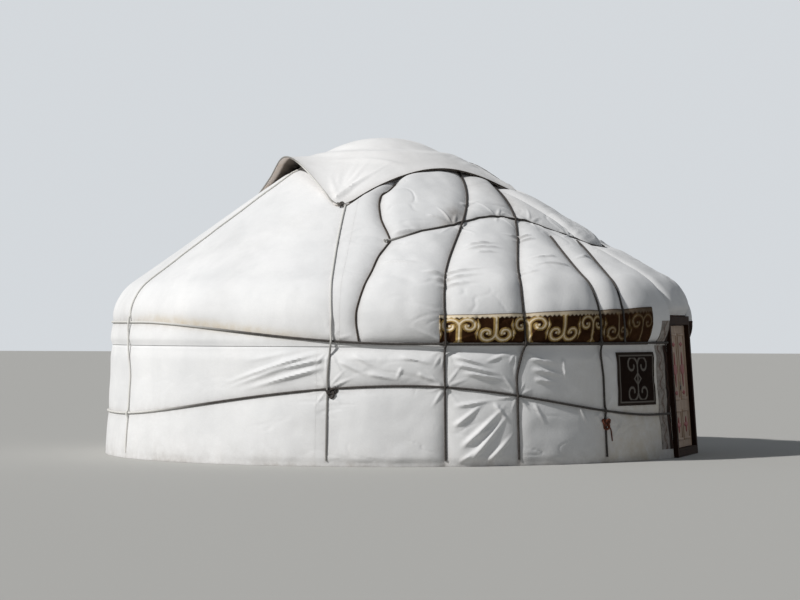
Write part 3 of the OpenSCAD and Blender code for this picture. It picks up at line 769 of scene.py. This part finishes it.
def roof_felt(part, a0, a1, w0, size):
    node = f"roof_felt_{part}"
    width, length = (a1 - a0) * EAVE_R * DEG, float(pole_length((a0 + a1) / 2)) - w0
    cut = CLEAR / FOOT_R / DEG
    s, t = cloth_grid(width, length, size)
    a = a0 + cut + (a1 - a0 - 2 * cut) * s
    w = w0 + (pole_length(a) - 0.003 - w0) * t
    d, around = from_door(a), np.mod(a, 360)
    lift, nearest = roof_offset(a, w)
    lift = lift + 0.004 * bell(w - w0 - 0.014, 0.010) * fade(d, 80, 96)
    if w0 < 0:
        lift = lift - 0.013 * fade(w, w0, w0 + 0.10) * (1 - 0.5 * ease(d, 84, 96))
    edge = np.minimum(a - a0, a1 - a) * reach(a, w)
    # Painted shade, with some dirt, darkens the felt in the creases beside each rope and cord.
    grime_and_shade = 0.55 * np.exp(-nearest / 0.022) + 0.22 * np.exp(-nearest / 0.07)
    # Painted shade fills the pocket below the crown cover's edge beside the foremost rope's top.
    grime_and_shade += 0.30 * ease(-np.abs(d - 22), -14, -2) * ease(w, 1.55, 2.1)
    grime_and_shade += 0.12 * np.exp(-edge / 0.012) + 0.10 * unit(noise(skin(a, w, lift), 0.5))
    # Painted shade under each pucker.
    grime_and_shade += 0.65 * hollow(puckers, a, w, 30)
    # the pillow in front of the foremost rope's top is darkened with painted shade, where it turns from the
    # sun
    pillow = (around < 360 - rope_direction(DOWN[0], w)) & (w > roof_rope_w(a))
    beside = bell(rope_gap(a, w, DOWN[0], -1) - 0.1, 0.09)
    grime_and_shade += 0.75 * ease(-np.abs(w - 1.62), -0.35, -0.1) * beside * pillow
    yellow = 0.55 * bell(w - eave_rope_w(a) - 0.03, 0.05) * ease(-np.abs(d - 112), -30, -6) * (around > 180)
    obj = felt_shell(f"{node}_dressed", skin, a, w, lift, ROOF_FELT,
                     {"dirt": np.clip(grime_and_shade, 0, 0.85), "stain": unit(yellow)},
                     "roof_felt", node, floor=lay(w))


roof_felt("front_left", 360 - SEAM_A, 360 - DOOR_FELT_A, -SKIRT_L, 0.0155)
roof_felt("front_right", DOOR_FELT_A, SEAM_A, -SKIRT_L, 0.021)
roof_felt("back_left", 180, 360 - SEAM_A, -SKIRT_L, 0.024)
roof_felt("back_right", SEAM_A, 180, -SKIRT_L, 0.028)
roof_felt("over_door", -DOOR_FELT_A, DOOR_FELT_A, DOOR_FELT_UP, 0.022)


# Wall felts

# Folds where ropes cross on the wall: direction, height, and the folds
WALL_CROSSINGS = []
rng = np.random.default_rng(21)
for side, turn in product((-1, 1), (65, 51.5, 32.5, 86)):
    for level in (float(hooked(turn)), 1.16):
        angles = (-20, -55, -90, -125, -160) if level > 1 else (15, 50, 130, 165, -15, -50, -120, -165)
        folds = fan(rng, angles, (0.14, 0.30), (0.012, 0.020), (0.007, 0.014))
        WALL_CROSSINGS.append((side * turn, level, folds))

# Folds of the wall beside the door: metres toward the door from the direction 79 degrees off it, height,
# at both ends, and depth
WALL_FOLDS = (
    (-0.40, 1.22, -1.30, 1.04, 0.026), (-0.41, 1.16, -1.55, 0.82, 0.038), (-0.43, 1.07, -1.20, 0.90, 0.030),
    (-0.45, 0.98, -1.30, 0.76, 0.030), (-0.90, 0.96, -1.50, 0.78, 0.018), (-0.14, 1.12, 0.10, 0.98, 0.018),
    (0.02, 0.92, 0.34, 0.86, 0.016), (0.34, 1.10, 0.68, 1.02, 0.018), (0.36, 0.98, 0.30, 0.86, 0.012),
    (0.52, 0.92, 0.72, 0.84, 0.016), (-0.28, 1.05, 0.02, 0.90, 0.018),
    (0.88, 1.11, 1.26, 0.99, 0.032), (0.90, 1.02, 1.38, 0.91, 0.032), (1.00, 0.93, 1.42, 0.86, 0.024),
    (1.46, 1.13, 1.20, 1.03, 0.022), (1.02, 0.05, 1.44, 0.50, 0.032), (0.96, 0.20, 1.42, 0.60, 0.034),
    (0.88, 0.40, 1.18, 0.62, 0.026), (1.20, 0.03, 1.50, 0.32, 0.028), (0.92, 0.03, 1.12, 0.18, 0.022),
    (1.10, 0.28, 1.30, 0.42, 0.018), (0.90, 0.60, 1.30, 0.66, 0.020), (1.30, 0.62, 1.46, 0.42, 0.018),
    (1.72, 1.07, 2.06, 1.01, 0.024), (1.74, 0.96, 2.12, 0.90, 0.024), (1.76, 0.86, 2.04, 0.82, 0.018),
    (2.10, 1.06, 2.13, 0.82, 0.026), (2.28, 0.58, 2.40, 0.38, 0.022), (1.74, 0.62, 1.86, 0.40, 0.014),
    (2.50, 0.50, 2.66, 0.30, 0.016), (2.90, 0.42, 2.70, 0.22, 0.014),
)


def wall_rope_turn(rope, z):
    """Direction of a down rope at a height on the wall."""
    return np.interp(z, (0.6 * WALL_H, 1.2), (rope.foot, rope.eave))


def wall_folds(a, z):
    toward = (79 - from_door(a)) * WALL_DEG
    return sum(fold(toward, z, (x0, z0), (x1, z1), 0.013 + 0.45 * height, height)
               for x0, z0, x1, z1, height in WALL_FOLDS)


def wall_offset(a, z):
    """How far the wall felt's dressed outer face stands out from its plain one, and the nearest rope."""
    a, z = np.broadcast_arrays(np.asarray(a, float), np.asarray(z, float))
    held, nearest = between_ropes([(np.abs(off(a, side * wall_rope_turn(rope, z))) * WALL_DEG, rope.press)
                                   for side, rope in product((-1, 1), DOWN) if rope.foot is not None], 0.09)
    held *= press(z - hooked(a), 0.09)
    nearest = np.minimum(nearest, np.abs(z - hooked(a)))
    p, d = on_wall(a, z), from_door(a)
    lively = 0.30 + 0.70 * fade(d, 88, 110)
    puff = held * (0.036 + 0.016 * noise(p, 0.8)) * lively * (0.5 + 0.5 * ease(d, 40, 62))
    puff += held * (0.010 * noise(p, 0.3) + 0.004 * noise(p, 0.12)) * lively
    puff -= 0.005 * creases(p, 0.30) * np.minimum(1, 1.4 * held) * lively
    add_folds(puff, WALL_CROSSINGS, a, z, WALL_DEG, 0.45, lively)
    puff += wall_folds(a, z)
    seam = press((d - jamb_turn(z)) * WALL_DEG, 0.04) * press((d - 180) * WALL_DEG, 0.04)
    ripple = 0.0036 * np.sin(a * 0.9 + 2 * noise(p, 0.7)) * fade(z, 0.03, 0.25)
    hem = 0.72 * TIGHT * ease(z, 0.80, 1.14) * fade(z, 1.178, 1.20) * ease(d, 84, 96)
    return (puff * seam * fade(z, 1.05, 1.17) * (0.35 + 0.65 * ease(z, 0.0, 0.10)) + hem + ripple * seam
            - 0.003 * (1 - seam), nearest)


def wall_felt(part, a0, a1, size):
    node = f"wall_felt_{part}"
    width = (a1 - a0) * WALL_DEG
    cut = CLEAR / WALL_DEG
    s, t = cloth_grid(width, WALL_FELT_H, size)
    z = WALL_FELT_H * t
    first = jamb_turn(z) if a0 == 0 else a0 + cut
    last = a1 - jamb_turn(z) if a1 == 360 else a1 - cut
    a = first + (last - first) * s
    offset, nearest = wall_offset(a, z)
    offset = offset + 0.003 * bell(z - 0.015, 0.010)
    p, d = on_wall(a, z), from_door(a)
    edge = np.minimum(a - first, last - a) * WALL_DEG
    # Painted shade, with some dirt, darkens the felt in the creases beside each rope.
    grime_and_shade = 0.5 * np.exp(-nearest / 0.020) + 0.20 * np.exp(-nearest / 0.07)
    grime_and_shade += 0.55 * np.exp(-z / 0.07) * (0.6 + 0.4 * noise(p, 0.25)) + 0.22 * np.exp(-z / 0.25)
    # Darker at the edges, most beside the door, and darker towards the door.
    grime_and_shade += np.where(d > 60, 0.08, 0.30) * np.exp(-edge / 0.012) + 0.30 * fade(d, 14, 44)
    # Random dirt, and painted shade under the wall's folds.
    grime_and_shade += 0.10 * unit(noise(p, 0.45)) + 0.40 * hollow(wall_folds, a, z, 26)
    # The felt turns browner towards the door, below the eave.
    browner_toward_door = 0.40 * fade(d, 20, 44) * (0.7 + 0.6 * noise(p, 0.4)) * fade(z, 0.9, 1.3)
    obj = felt_shell(f"{node}_dressed", lambda a, z, o: on_wall(a, z, o - CLEAR), a, z, offset, WHITE_FELT,
                     {"dirt": np.clip(grime_and_shade, 0, 0.85), "stain": unit(browner_toward_door)}, "wall_felt", node)


wall_felt("front_right", 0, WALL_SEAM_A, 0.024)
wall_felt("back_right", WALL_SEAM_A, 180, 0.028)
wall_felt("back_left", 180, 360 - WALL_SEAM_A, 0.016)
wall_felt("front_left", 360 - WALL_SEAM_A, 360, 0.0135)


# Ropes

def roof_path(a, w, lift):
    """Points on the dressed roof felt, lift above its face."""
    return skin(a, w, roof_offset(a, w)[0] + lift)


def ring_rope(path, first, last, pale):
    """Rope round the tent that turns pale from the first direction to the last, a painted highlight."""
    rope = Bundle(lambda a, z: 0.03 + pale * ease(from_door(a), first, last))
    rope.tube(smooth_path(path), RING_ROPE)
    return rope


def ring_ropes():
    gap = DOOR_FELT_A + RING_ROPE / WALL_DEG
    a = np.linspace(gap, 360 - gap, 240)
    path = roof_path(a, eave_rope_w(a), RING_ROPE * ROPE_SUNK + on_band(a) * (BAND_T + 0.006))
    eave = ring_rope(path, 98, 126, 0.85)
    for turn in (65, 50, 33.3, 295, 310, 326.7):
        eave.knot(on_roof(turn, eave_rope_w(turn), RING_ROPE + on_band(turn) * BAND_T), 0.026, 0.014)
    wall = ring_rope(on_wall(a, hooked(a), RING_ROPE * ROPE_SUNK), 108, 132, 0.85)
    a = np.linspace(-ROOF_ROPE_A, ROOF_ROPE_A, 90)
    roof = ring_rope(roof_path(a, roof_rope_w(a), RING_ROPE * 0.40), 68, 76, 0.5)
    for turn in (-ROOF_ROPE_A, ROOF_ROPE_A):
        roof.knot(on_roof(turn, roof_rope_w(turn), RING_ROPE * 0.6), 0.022, 0.014)
    for node, rope in (("eave_rope", eave), ("wall_rope", wall), ("roof_rope", roof)):
        rope.finish(f"{node}_laid", DARK_ROPE, node=node)
    dark, red, cord = Bundle(), Bundle(), Bundle()
    for side in (-1, 1):
        dark.knot(on_wall(side * 85.2, float(hooked(85.2)) - 0.035, RING_ROPE * 0.9), 0.055, 0.026)
        red.knot(on_wall(side * 32.5, 0.40, DOWN_ROPE), 0.058, 0.026)
        tassel = on_wall(side * np.array([32.4, 31.3, 31.0]), np.array([0.40, 0.34, 0.22]), 0.012)
        red.tube(smooth_path(tassel, 0.012), 0.014, sides=7)
        turn, w = np.array(EDGE_CORD).T
        line = smooth_path(np.stack([turn * 0.03, w, 0 * w], -1), 0.03)
        turn, w = side * line[:, 0] / 0.03, line[:, 1]
        cord.tube(smooth_path(roof_path(turn, w, 0.006), 0.012), 0.020)
    dark.finish("wall_rope_knots", DARK_ROPE)
    red.finish("red_brown_knots", RED_ROPE)
    cord.finish("roof_felt_edge_cords", HEM_ROPE)


def down_path(rope, side):
    w = np.concatenate([np.linspace(rope_top(rope), 0.5, 40), np.linspace(0.45, 0, 10)])
    a = side * rope_direction(rope, w)
    beyond = np.maximum(0, from_door(a) - ROOF_ROPE_A) * reach(a, w)
    over_ring = (RING_ROPE - 0.004) * bell(np.hypot(w - roof_rope_w(a), beyond), 0.045)
    over_band = np.where((w < band_top(a)) & (on_band(rope.eave) > 0), BAND_T + 0.006, 0)
    low = float(eave_rope_w(rope.eave))
    stops = np.array([-0.06, -0.16, low + 0.05, low])
    over_eave = np.where(np.abs(stops - low) < 0.01, RING_ROPE * 0.9, 0.006) + BAND_T
    path = [roof_path(a, w, DOWN_ROPE * 0.40 + over_ring + over_band),
            roof_path(np.full(4, side * rope.eave), stops, DOWN_ROPE * 0.45 + over_eave)]
    if rope.foot is None:
        return np.concatenate(path)
    z = np.array([1.12, 0.95, 0.86, 0.7, 0.5, 0.35, 0.2, 0.06])
    rope_z = float(hooked(rope.foot))
    z = np.sort(np.append(z[np.abs(z - rope_z) > 0.06], [rope_z + 0.05, rope_z, rope_z - 0.05]))[::-1]
    turn = side * wall_rope_turn(rope, z)
    up = RING_ROPE * 0.92 * bell(z - rope_z, 0.035) + 0.012 * ease(z, 1.0, 1.15)
    path.append(on_wall(turn, z, DOWN_ROPE * 0.40 + up + np.maximum(wall_offset(turn, z)[0], 0)))
    return np.concatenate(path)


def down_ropes(name, side):
    bundle = Bundle()
    for rope in DOWN:
        # The painted highlight is weaker on the wall than on the roof, except on the palest ropes.
        low = 0.35 if rope.pale < 1 else 1
        bundle.pale = lambda a, z: rope.pale * (low + (1 - low) * ease(z, 1.15, 1.3))
        bundle.tube(smooth_path(down_path(rope, side)), DOWN_ROPE)
    bundle.finish(f"down_ropes_{name}_laid", DARK_ROPE, node=f"down_ropes_{name}")


ring_ropes()
for name, side in SIDES:
    down_ropes(name, side)


# Crown cover

def cover_lift(a):
    """How far the cover's edge stands up between its corners."""
    return COVER_LIFT * sum(
        share * np.maximum(0, np.cos(np.minimum(45, np.abs(off(a, mid))) * 2 * DEG)) ** 1.3
        for mid, share in ((-135, 1), (-45, 0.15), (45, 0.35), (135, 0.45)))


def cover_profile(a):
    """Points of the cover's lower face from its middle to its edge, for each direction."""
    x, y = direction(a)
    seat = ((BAR_GAP + BAR_T / 2) ** 2 + (RING_IN / 4) ** 2 / 4) / (2 * BAR_ARC) + 4 * CLEAR
    radii = [share * RING_IN for share in (0, 0.25, 0.5, 0.75, 0.96)]
    rings = [(r, BAR_TOP - BAR_ARC + math.sqrt(BAR_ARC ** 2 - r ** 2) + seat) for r in radii]
    rings.append((0.97 * CROWN_R, RING_TOP + 5 * CLEAR))
    rows = [np.stack([r * x, CROWN_BACK + r * y, np.full_like(x, z)], -1) for r, z in rings]
    _, slope, _, length = slopes(a)
    gap = TIGHT + DOWN_ROPE + ROUND_SAG + 9 * CLEAR
    for t in np.linspace(0, 1, 7):
        run = 0.03 * CROWN_R * (1 - t) + (cover_edge(a) - CROWN_R) / np.cos(slope) * t
        rows.append(skin(a, length - run, gap + cover_lift(a) * t ** 1.2))
    return np.array(rows)


def loop_normals(p):
    normal = np.cross(np.gradient(p, axis=0), np.roll(p, -1, 1) - np.roll(p, 1, 1))
    length = np.linalg.norm(normal, axis=-1, keepdims=True)
    normal = np.where(length > 1e-9, normal / np.maximum(length, 1e-9), [0, 0, 1])
    return normal * np.where(normal[..., 2:] < -0.6, -1, 1)


def crown_cover():
    rng = np.random.default_rng(31)
    cols = COVER_COLS
    a = np.linspace(0, 360, cols, endpoint=False)
    profile = cover_profile(a)
    rows = np.concatenate([catmull_rom(with_ends(profile), 5), profile[-1:]])[1:]
    t = np.linspace(0, 1, len(rows))[:, None] * np.ones(cols)
    u, v = rows[..., 0], rows[..., 1] - CROWN_BACK
    puff = 0.006 * noise(rows, 0.5) + 0.003 * noise(rows, 0.2) + 0.0015 * noise(rows, 0.09)
    corners = (-90, 0, 90, 180)
    for turn in corners:
        x, y = direction(turn)
        tip = float(cover_edge(turn)) - 0.06
        for _ in range(7):
            lean = math.radians(rng.uniform(-30, 30))
            size = rng.uniform(0.45, 0.95)
            end = (tip * x + size * (y * math.sin(lean) - x * math.cos(lean)),
                   tip * y - size * (y * math.cos(lean) + x * math.sin(lean)))
            puff += fold(u, v, (tip * x, tip * y), end, 0.022, rng.uniform(0.008, 0.016))
        for _ in range(3):
            base = rng.uniform(0.86, 1.02)
            puff += fold(u, v, (base * x - 0.5 * y, base * y + 0.5 * x),
                         (base * x + 0.4 * y, base * y - 0.4 * x), 0.03, 0.006)
    radius = np.hypot(u, v)
    puff += 0.004 * np.cos(u / BAR_GAP * math.pi * 2) * (radius < 0.5) * bell(u, 0.16)
    puff *= ease(radius, 0.02, 0.2)
    normals = loop_normals(rows)
    under = rows + normals * (0.6 * np.maximum(puff, 0))[..., None]
    upper = rows + normals * (COVER_T - 0.001 + puff)[..., None]
    points = np.concatenate([[[0, CROWN_BACK, upper[0, :, 2].mean()]], upper.reshape(-1, 3),
                             under[::-1].reshape(-1, 3), [[0, CROWN_BACK, under[0, 0, 2]]]])
    total = 2 * len(rows)
    last = 1 + total * cols
    faces = grid_faces(total, cols, 1, flip=True, loop=True)
    faces += [[0, 1 + j, 1 + (j + 1) % cols] for j in range(cols)]
    faces += [[last, last - cols + (j + 1) % cols, last - cols + j] for j in range(cols)]
    # The cover greys towards its edge and in random patches; painted shade darkens its slope above the
    # foremost left rope.
    grime_and_shade = (0.25 * ease(t, 0.90, 1.0) + 0.12 * unit(noise(rows, 0.4))
             + 0.22 * ease(t, 0.55, 0.9) * bell(a - 335, 16))

    def both(above, below, end=0):
        return np.concatenate([[0], above.ravel(), below[::-1].ravel(), [end]])

    values = {
        "dirt": both(np.clip(grime_and_shade, 0, 0.8), 0 * t),
        "stain": both(0 * t, 0.75 * ease(t, 0.8, 0.9)),
        # Away from its rim the underside takes the dark inner colour, painted shade.
        "inside": both(0 * t, fade(t, 0.88, 0.93), 1),
    }
    obj = new_object("crown_cover_dressed", points, faces, COVER_FELT, values, "cover_felt", "crown_cover")
    # The hem rope's painted highlight is strongest on the sunlit left and weaker towards the back.
    hem = Bundle(lambda turn, z: (0.9 * np.exp(-((turn + 112) / 15) ** 4)
                                  + 0.35 * ease(np.abs(turn), 120, 140)))
    edge = (upper[-1] + under[-1]) / 2 + normals[-1] * 0.003
    hem.tube(smooth_path(edge[::3], loop=True), 0.018, loop=True)
    for turn in corners:
        k = turn % 360 * cols // 360
        hem.knot(edge[k] + normals[-1][k] * 0.012, 0.036, 0.018, normals[-1][k])
    cord = hem.finish("crown_cover_hem_rope", HEM_ROPE)


crown_cover()


# Ornament

def horn_pair(scale, lift):
    """Stem with two ram's horns that curl outward and down."""
    lines = []
    t = np.linspace(0, 1, 40)
    for way in (-1, 1):
        r = 0.25 + (0.085 - 0.25) * t
        angle = (math.pi if way > 0 else 0) - way * 2 * math.pi * t
        curl = np.stack([way * 0.25 + r * np.cos(angle), 0.10 + r * np.sin(angle)], -1)
        lines.append(np.concatenate([[[0, -0.44], [0, -0.15]], curl]) * scale + [0, lift])
    return lines


def distance_to(u, v, lines):
    best = np.full(u.shape, FAR)
    for line in lines:
        for p, d in zip(line, np.diff(line, axis=0)):
            t = unit(((u - p[0]) * d[0] + (v - p[1]) * d[1]) / max(d @ d, 1e-12))
            best = np.minimum(best, np.hypot(u - p[0] - t * d[0], v - p[1] - t * d[1]))
    return best


def ornament_band(name, side):
    length = (BAND_A1 - BAND_A0) * EAVE_R * DEG
    s, up = cloth_grid(length, BAND_H, ORNAMENT_CELL)
    s = s if side > 0 else 1 - s
    up = up * BAND_H
    turn = BAND_A0 + (BAND_A1 - BAND_A0) * s
    low = -SKIRT_L + 2 * BAND_T
    a, w = side * turn, low + (band_top(turn) - low) * up / BAND_H
    cell = length / 7
    x = s * length
    k = np.floor(x / cell)
    u = x - (k + 0.5) * cell
    v = (up - BAND_H / 2) * np.where(np.mod(k, 2) > 0, -1, 1)
    horn = distance_to(u, v, horn_pair(0.36, 0.012))
    tip = np.abs(u) / 0.060 + np.abs(v + 0.150) / 0.040
    dart = np.abs(cell / 2 - np.abs(u)) / 0.034 + np.abs(v + 0.045) / 0.095
    bud = np.hypot(np.abs(u) - 0.088, v - 0.046) / 0.014
    bold = np.interp(turn, (16, 60), (0.85, 1.5))
    fill = unit(fade(horn, 0.0165 * bold, 0.0195 * bold) + fade(tip, 0.85, 1.0) + fade(dart, 0.8, 1.0))
    line = unit(fade(horn, 0.0045 * bold, 0.0075 * bold) + fade(dart, 0.35, 0.5) + fade(bud, 0.7, 1.0))
    high = BAND_H - up
    rim = np.minimum(up, high)
    edge = (ease(high, 0.006, 0.009) * fade(high, 0.024, 0.028)
            + ease(up, 0.010, 0.013) * fade(up, 0.020, 0.023))
    teeth = ease(high, 0.028, 0.031) * fade(high + 0.018 * np.abs(np.mod(x, 0.05) / 0.025 - 1), 0.046, 0.052)
    line = np.where(rim < 0.030, edge, np.maximum(line, teeth * (high < 0.06)))
    fill = np.where(rim < 0.030, 0, fill)
    p = on_roof(a, w)
    raised = 0.0035 * unit(line + fill) + 0.003 * noise(p, 0.12) + 0.002
    offset = np.maximum(roof_offset(a, w)[0], lay(w) + TIGHT) + BAND_T + raised
    worn = unit(noise(p, 0.20) * 0.5 + noise(p, 0.07) * 0.5)
    # The ornament dims towards the door with painted shade, where the wall turns from the sun, and in worn
    # patches.
    shade_and_wear = np.interp(turn, (16, 30, 44, 54), (0.06, 0.20, 0.75, 1)) * (1 - 0.35 * worn)
    node = f"ornament_band_{name}"
    obj = felt_shell(f"{node}_sewn", skin, a, w, offset, BAND_FELT,
                     {"line": unit(line * (1 - 0.25 * worn) * shade_and_wear), "fill": fill * shade_and_wear},
                     "band_wool", node)


def over_wall(a, z):
    return np.maximum(wall_offset(a, z)[0], 0)


def ornament_panel(name, side):
    low = WALL_H - (SKIRT_L + FELT_T / 3) * math.cos(LEAN) - PANEL_DOWN - PANEL_H
    length = (PANEL_A1 - PANEL_A0) * WALL_DEG
    s, t = cloth_grid(length, PANEL_H, ORNAMENT_CELL)
    z = low + PANEL_H * t
    a = side * (PANEL_A0 + (PANEL_A1 - PANEL_A0) * (s if side > 0 else 1 - s))
    u, v = (s - 0.5) * length, (t - 0.5) * PANEL_H
    horn = distance_to(u, v, [line * [1, way] for way in (-1, 1) for line in horn_pair(0.40, 0.10)])
    rim = np.minimum(length / 2 - np.abs(u), PANEL_H / 2 - np.abs(v))
    diamond = np.abs(u) / 0.07 + np.abs(v) / 0.07
    line = fade(horn, 0.010, 0.014) * (rim > 0.055)
    line = unit(line + (ease(diamond, 0.6, 0.7) - ease(diamond, 0.95, 1.05)))
    line = np.where((rim > 0.030) & (rim < 0.042), 1, line)
    fill = unit(fade(diamond, 0.35, 0.45) + (rim < 0.016))
    node = f"ornament_panel_{name}"
    offset = over_wall(a, z) + PANEL_T + 0.003 * unit(line + fill) + 0.002
    obj = felt_shell(f"{node}_sewn", on_wall, a, z, offset, PANEL_FELT, {"line": line, "fill": fill},
                     "panel_felt", node, PANEL_SKIN)


def wave(v, away, middle, swing, thin, thick):
    """Wavy line along a border strip."""
    return fade(np.abs(away - middle - swing * np.sin(v * 34)), thin, thick)


def door_border(name, side):
    """Felt strips sewn along the door's edge of the wall felt and of the roof felt over it."""
    for part, low, high, place, base in (
            ("wall", 0.10, 1.20, on_wall, over_wall),
            ("eave", -SKIRT_L + 0.004, -0.06, skin, lambda a, w: roof_offset(a, w)[0])):
        s, t = cloth_grid(0.28, high - low, 0.016, 0.018)
        v = low + (high - low) * t
        first, last = BORDER_A[0] + 0.1 * np.abs(v), BORDER_A[1]
        turn = first + (last - first) * (s if side > 0 else 1 - s)
        a = side * turn
        away = (turn - first) * WALL_DEG
        across = np.minimum(away, (last - turn) * WALL_DEG)
        line = np.maximum(0.8 * wave(v, away, 0.195, 0.035, 0.008, 0.014),
                          0.5 * wave(v, away, 0.05, 0.03, 0.006, 0.010))
        offset = base(a, v) + 0.006 + 0.003 * noise(on_wall(a, v), 0.2)
        obj = felt_shell(f"door_border_{part}_{name}", place, a, v, offset, BORDER_FELT,
                         {"line": line * ease(across, 0.01, 0.014), "fill": ease(away, 0.105, 0.112)},
                         "panel_felt")


for name, side in SIDES:
    ornament_band(name, side)
    ornament_panel(name, side)
    door_border(name, side)


# Door

def door_point(x, y, z):
    """Point of the door frame, which leans with the wall: y in from its front, z up."""
    return np.stack(np.broadcast_arrays(x, -BASE_R + y * math.cos(LEAN) + z * math.sin(LEAN),
                                        -y * math.sin(LEAN) + z * math.cos(LEAN)), -1)


def carve(bundle, face, rim, y0, y1, y2):
    """Board or carving from the outline of its face at y0 and of its rim from y1 to y2, as (x, z) points."""
    n = len(rim)
    rings = [door_point(ring[:, 0], y, ring[:, 1]) for ring, y in ((face, y0), (rim, y1), (rim, y2))]
    faces = [list(range(n)), list(range(2 * n, 3 * n))[::-1]]
    faces += [[r + k, r + k + n, r + (k + 1) % n + n, r + (k + 1) % n] for r in (0, n) for k in range(n)]
    bundle.add(np.concatenate(rings), faces)


def door_box(bundle, x0, x1, y0, y1, z0, z1, bevel=0.004):
    """Board with its front edges planed off."""
    rim = np.array([(x0, z0), (x1, z0), (x1, z1), (x0, z1)])
    b = min(bevel, (x1 - x0) / 3, (z1 - z0) / 3)
    inset = b * np.array([(1, 1), (-1, 1), (-1, -1), (1, -1)])
    carve(bundle, rim + inset, rim, y0, y0 + min(b, (y1 - y0) / 2), y1)


def door_relief(bundle, outline, y0):
    """Flat carved piece from an outline of (x, z) points."""
    outline = np.asarray(outline, float)
    middle = outline.mean(0)
    carve(bundle, middle + (outline - middle) * 0.86, outline, y0, y0 + 0.003, LEAF_SET + 0.003)


def door_trim(name, side):
    trim, red, iron = Bundle(), Bundle(), Bundle()
    x0, x1, bar = 0.030, 0.365, 0.028

    def span(a, b):
        return (a, b) if side > 0 else (-b, -a)

    for z0, z1 in ((0.17, 0.50), (0.60, 1.32)):
        for a, b, low, high in ((x0, x1, z0, z0 + bar), (x0, x1, z1 - bar, z1),
                                (x0, x0 + bar, z0 + bar, z1 - bar), (x1 - bar, x1, z0 + bar, z1 - bar)):
            door_box(trim, *span(a, b), LEAF_SET - 0.008, LEAF_SET + 0.003, low, high)
    cx = side * (x0 + x1) / 2
    t = np.linspace(0, 2 * math.pi, 48, endpoint=False)
    petal = 0.70 + 0.30 * np.cos(4 * t)
    for wide, z, tall in ((0.105, 0.93, 0.19), (0.10, 0.335, 0.085)):
        door_relief(red, np.stack([cx + wide * petal * np.sin(t), z + tall * petal * np.cos(t)], -1),
                    LEAF_SET - 0.006)
    for z in (1.20, 0.68):
        diamond = [(cx - side * 0.09, z), (cx, z - bar), (cx + side * 0.09, z), (cx, z + bar)]
        door_relief(red, diamond[::side], LEAF_SET - 0.005)
    door_box(iron, *span(0.008, 0.024), LEAF_SET - 0.004, LEAF_SET + 0.002, 0.70, 0.80, 0.002)
    t = t[::2]
    x, z = side * 0.016 + 0.020 * np.sin(t), 0.735 + 0.022 * np.cos(t)
    iron.tube(door_point(x, LEAF_SET - 0.007 + 0 * t, z), 0.006, 8, True, 0)
    for bundle, label, mat in (
            (trim, "mouldings", DOOR_WOOD), (red, "red_carving", RED_PAINT), (iron, "pull", IRON)):
        bundle.finish(f"door_{label}_{name}", mat, "door_wood", body=f"leaf_{name}")


for name, side in SIDES:
    door_trim(name, side)


# Camera, light and stage

def place_object(name, data):
    obj = bpy.data.objects.new(name, data)
    bpy.context.scene.collection.objects.link(obj)
    return obj


def camera():
    """Long lens, level with the eave, at the photograph's viewing angle."""
    data = bpy.data.cameras.new("camera")
    azimuth, distance, eye, aim, span = math.radians(-73), 30, 1.45, 1.68, 8.9
    data.sensor_width = 36
    data.lens = data.sensor_width * distance / span
    data.clip_end = 500
    obj = place_object("camera", data)
    obj.location = (math.sin(azimuth) * distance, -math.cos(azimuth) * distance, eye)
    obj.rotation_euler = (Vector((0, 0, aim)) - Vector(obj.location)).to_track_quat("-Z", "Y").to_euler()
    bpy.context.scene.camera = obj


def stage():
    half, below = 90, -0.001
    mesh = bpy.data.meshes.new("floor")
    corners = [(x * half, y * half, below) for x, y in ((-1, -1), (1, -1), (1, 1), (-1, 1))]
    mesh.from_pydata(corners, [], [(0, 1, 2, 3)])
    mesh.materials.append(material("pale_floor", (0.45, 0.445, 0.425), 0.95, Specular_IOR_Level=0.1))
    place_object("floor", mesh)
    world = bpy.data.worlds.new("world")
    bpy.context.scene.world = world
    world.use_nodes = True
    nodes, link = world.node_tree.nodes, world.node_tree.links.new
    fill, seen = nodes["Background"], nodes.new("ShaderNodeBackground")
    for node, colour, strength in ((fill, (0.84, 0.91, 1.0, 1), 0.205), (seen, (0.66, 0.69, 0.72, 1), 1.0)):
        node.inputs["Color"].default_value = colour
        node.inputs["Strength"].default_value = strength
    path, either, both = (nodes.new(f"ShaderNode{kind}") for kind in ("LightPath", "Math", "MixShader"))
    either.operation = "MAXIMUM"
    link(path.outputs["Is Camera Ray"], either.inputs[0])
    link(path.outputs["Is Glossy Ray"], either.inputs[1])
    for k, node in enumerate((either, fill, seen)):
        link(node.outputs[0], both.inputs[k])
    link(both.outputs[0], nodes["World Output"].inputs["Surface"])
    sun = bpy.data.lights.new("sun", "SUN")
    sun.energy, sun.angle, sun.color = 3.5, math.radians(3), (1.0, 0.985, 0.965)
    azimuth, height = math.radians(-132), math.radians(38)
    towards = Vector((math.sin(azimuth) * math.cos(height), -math.cos(azimuth) * math.cos(height),
                      math.sin(height)))
    place_object("sun", sun).rotation_euler = towards.to_track_quat("Z", "Y").to_euler()
    bpy.context.scene.view_settings.view_transform = "Standard"


camera()
stage()
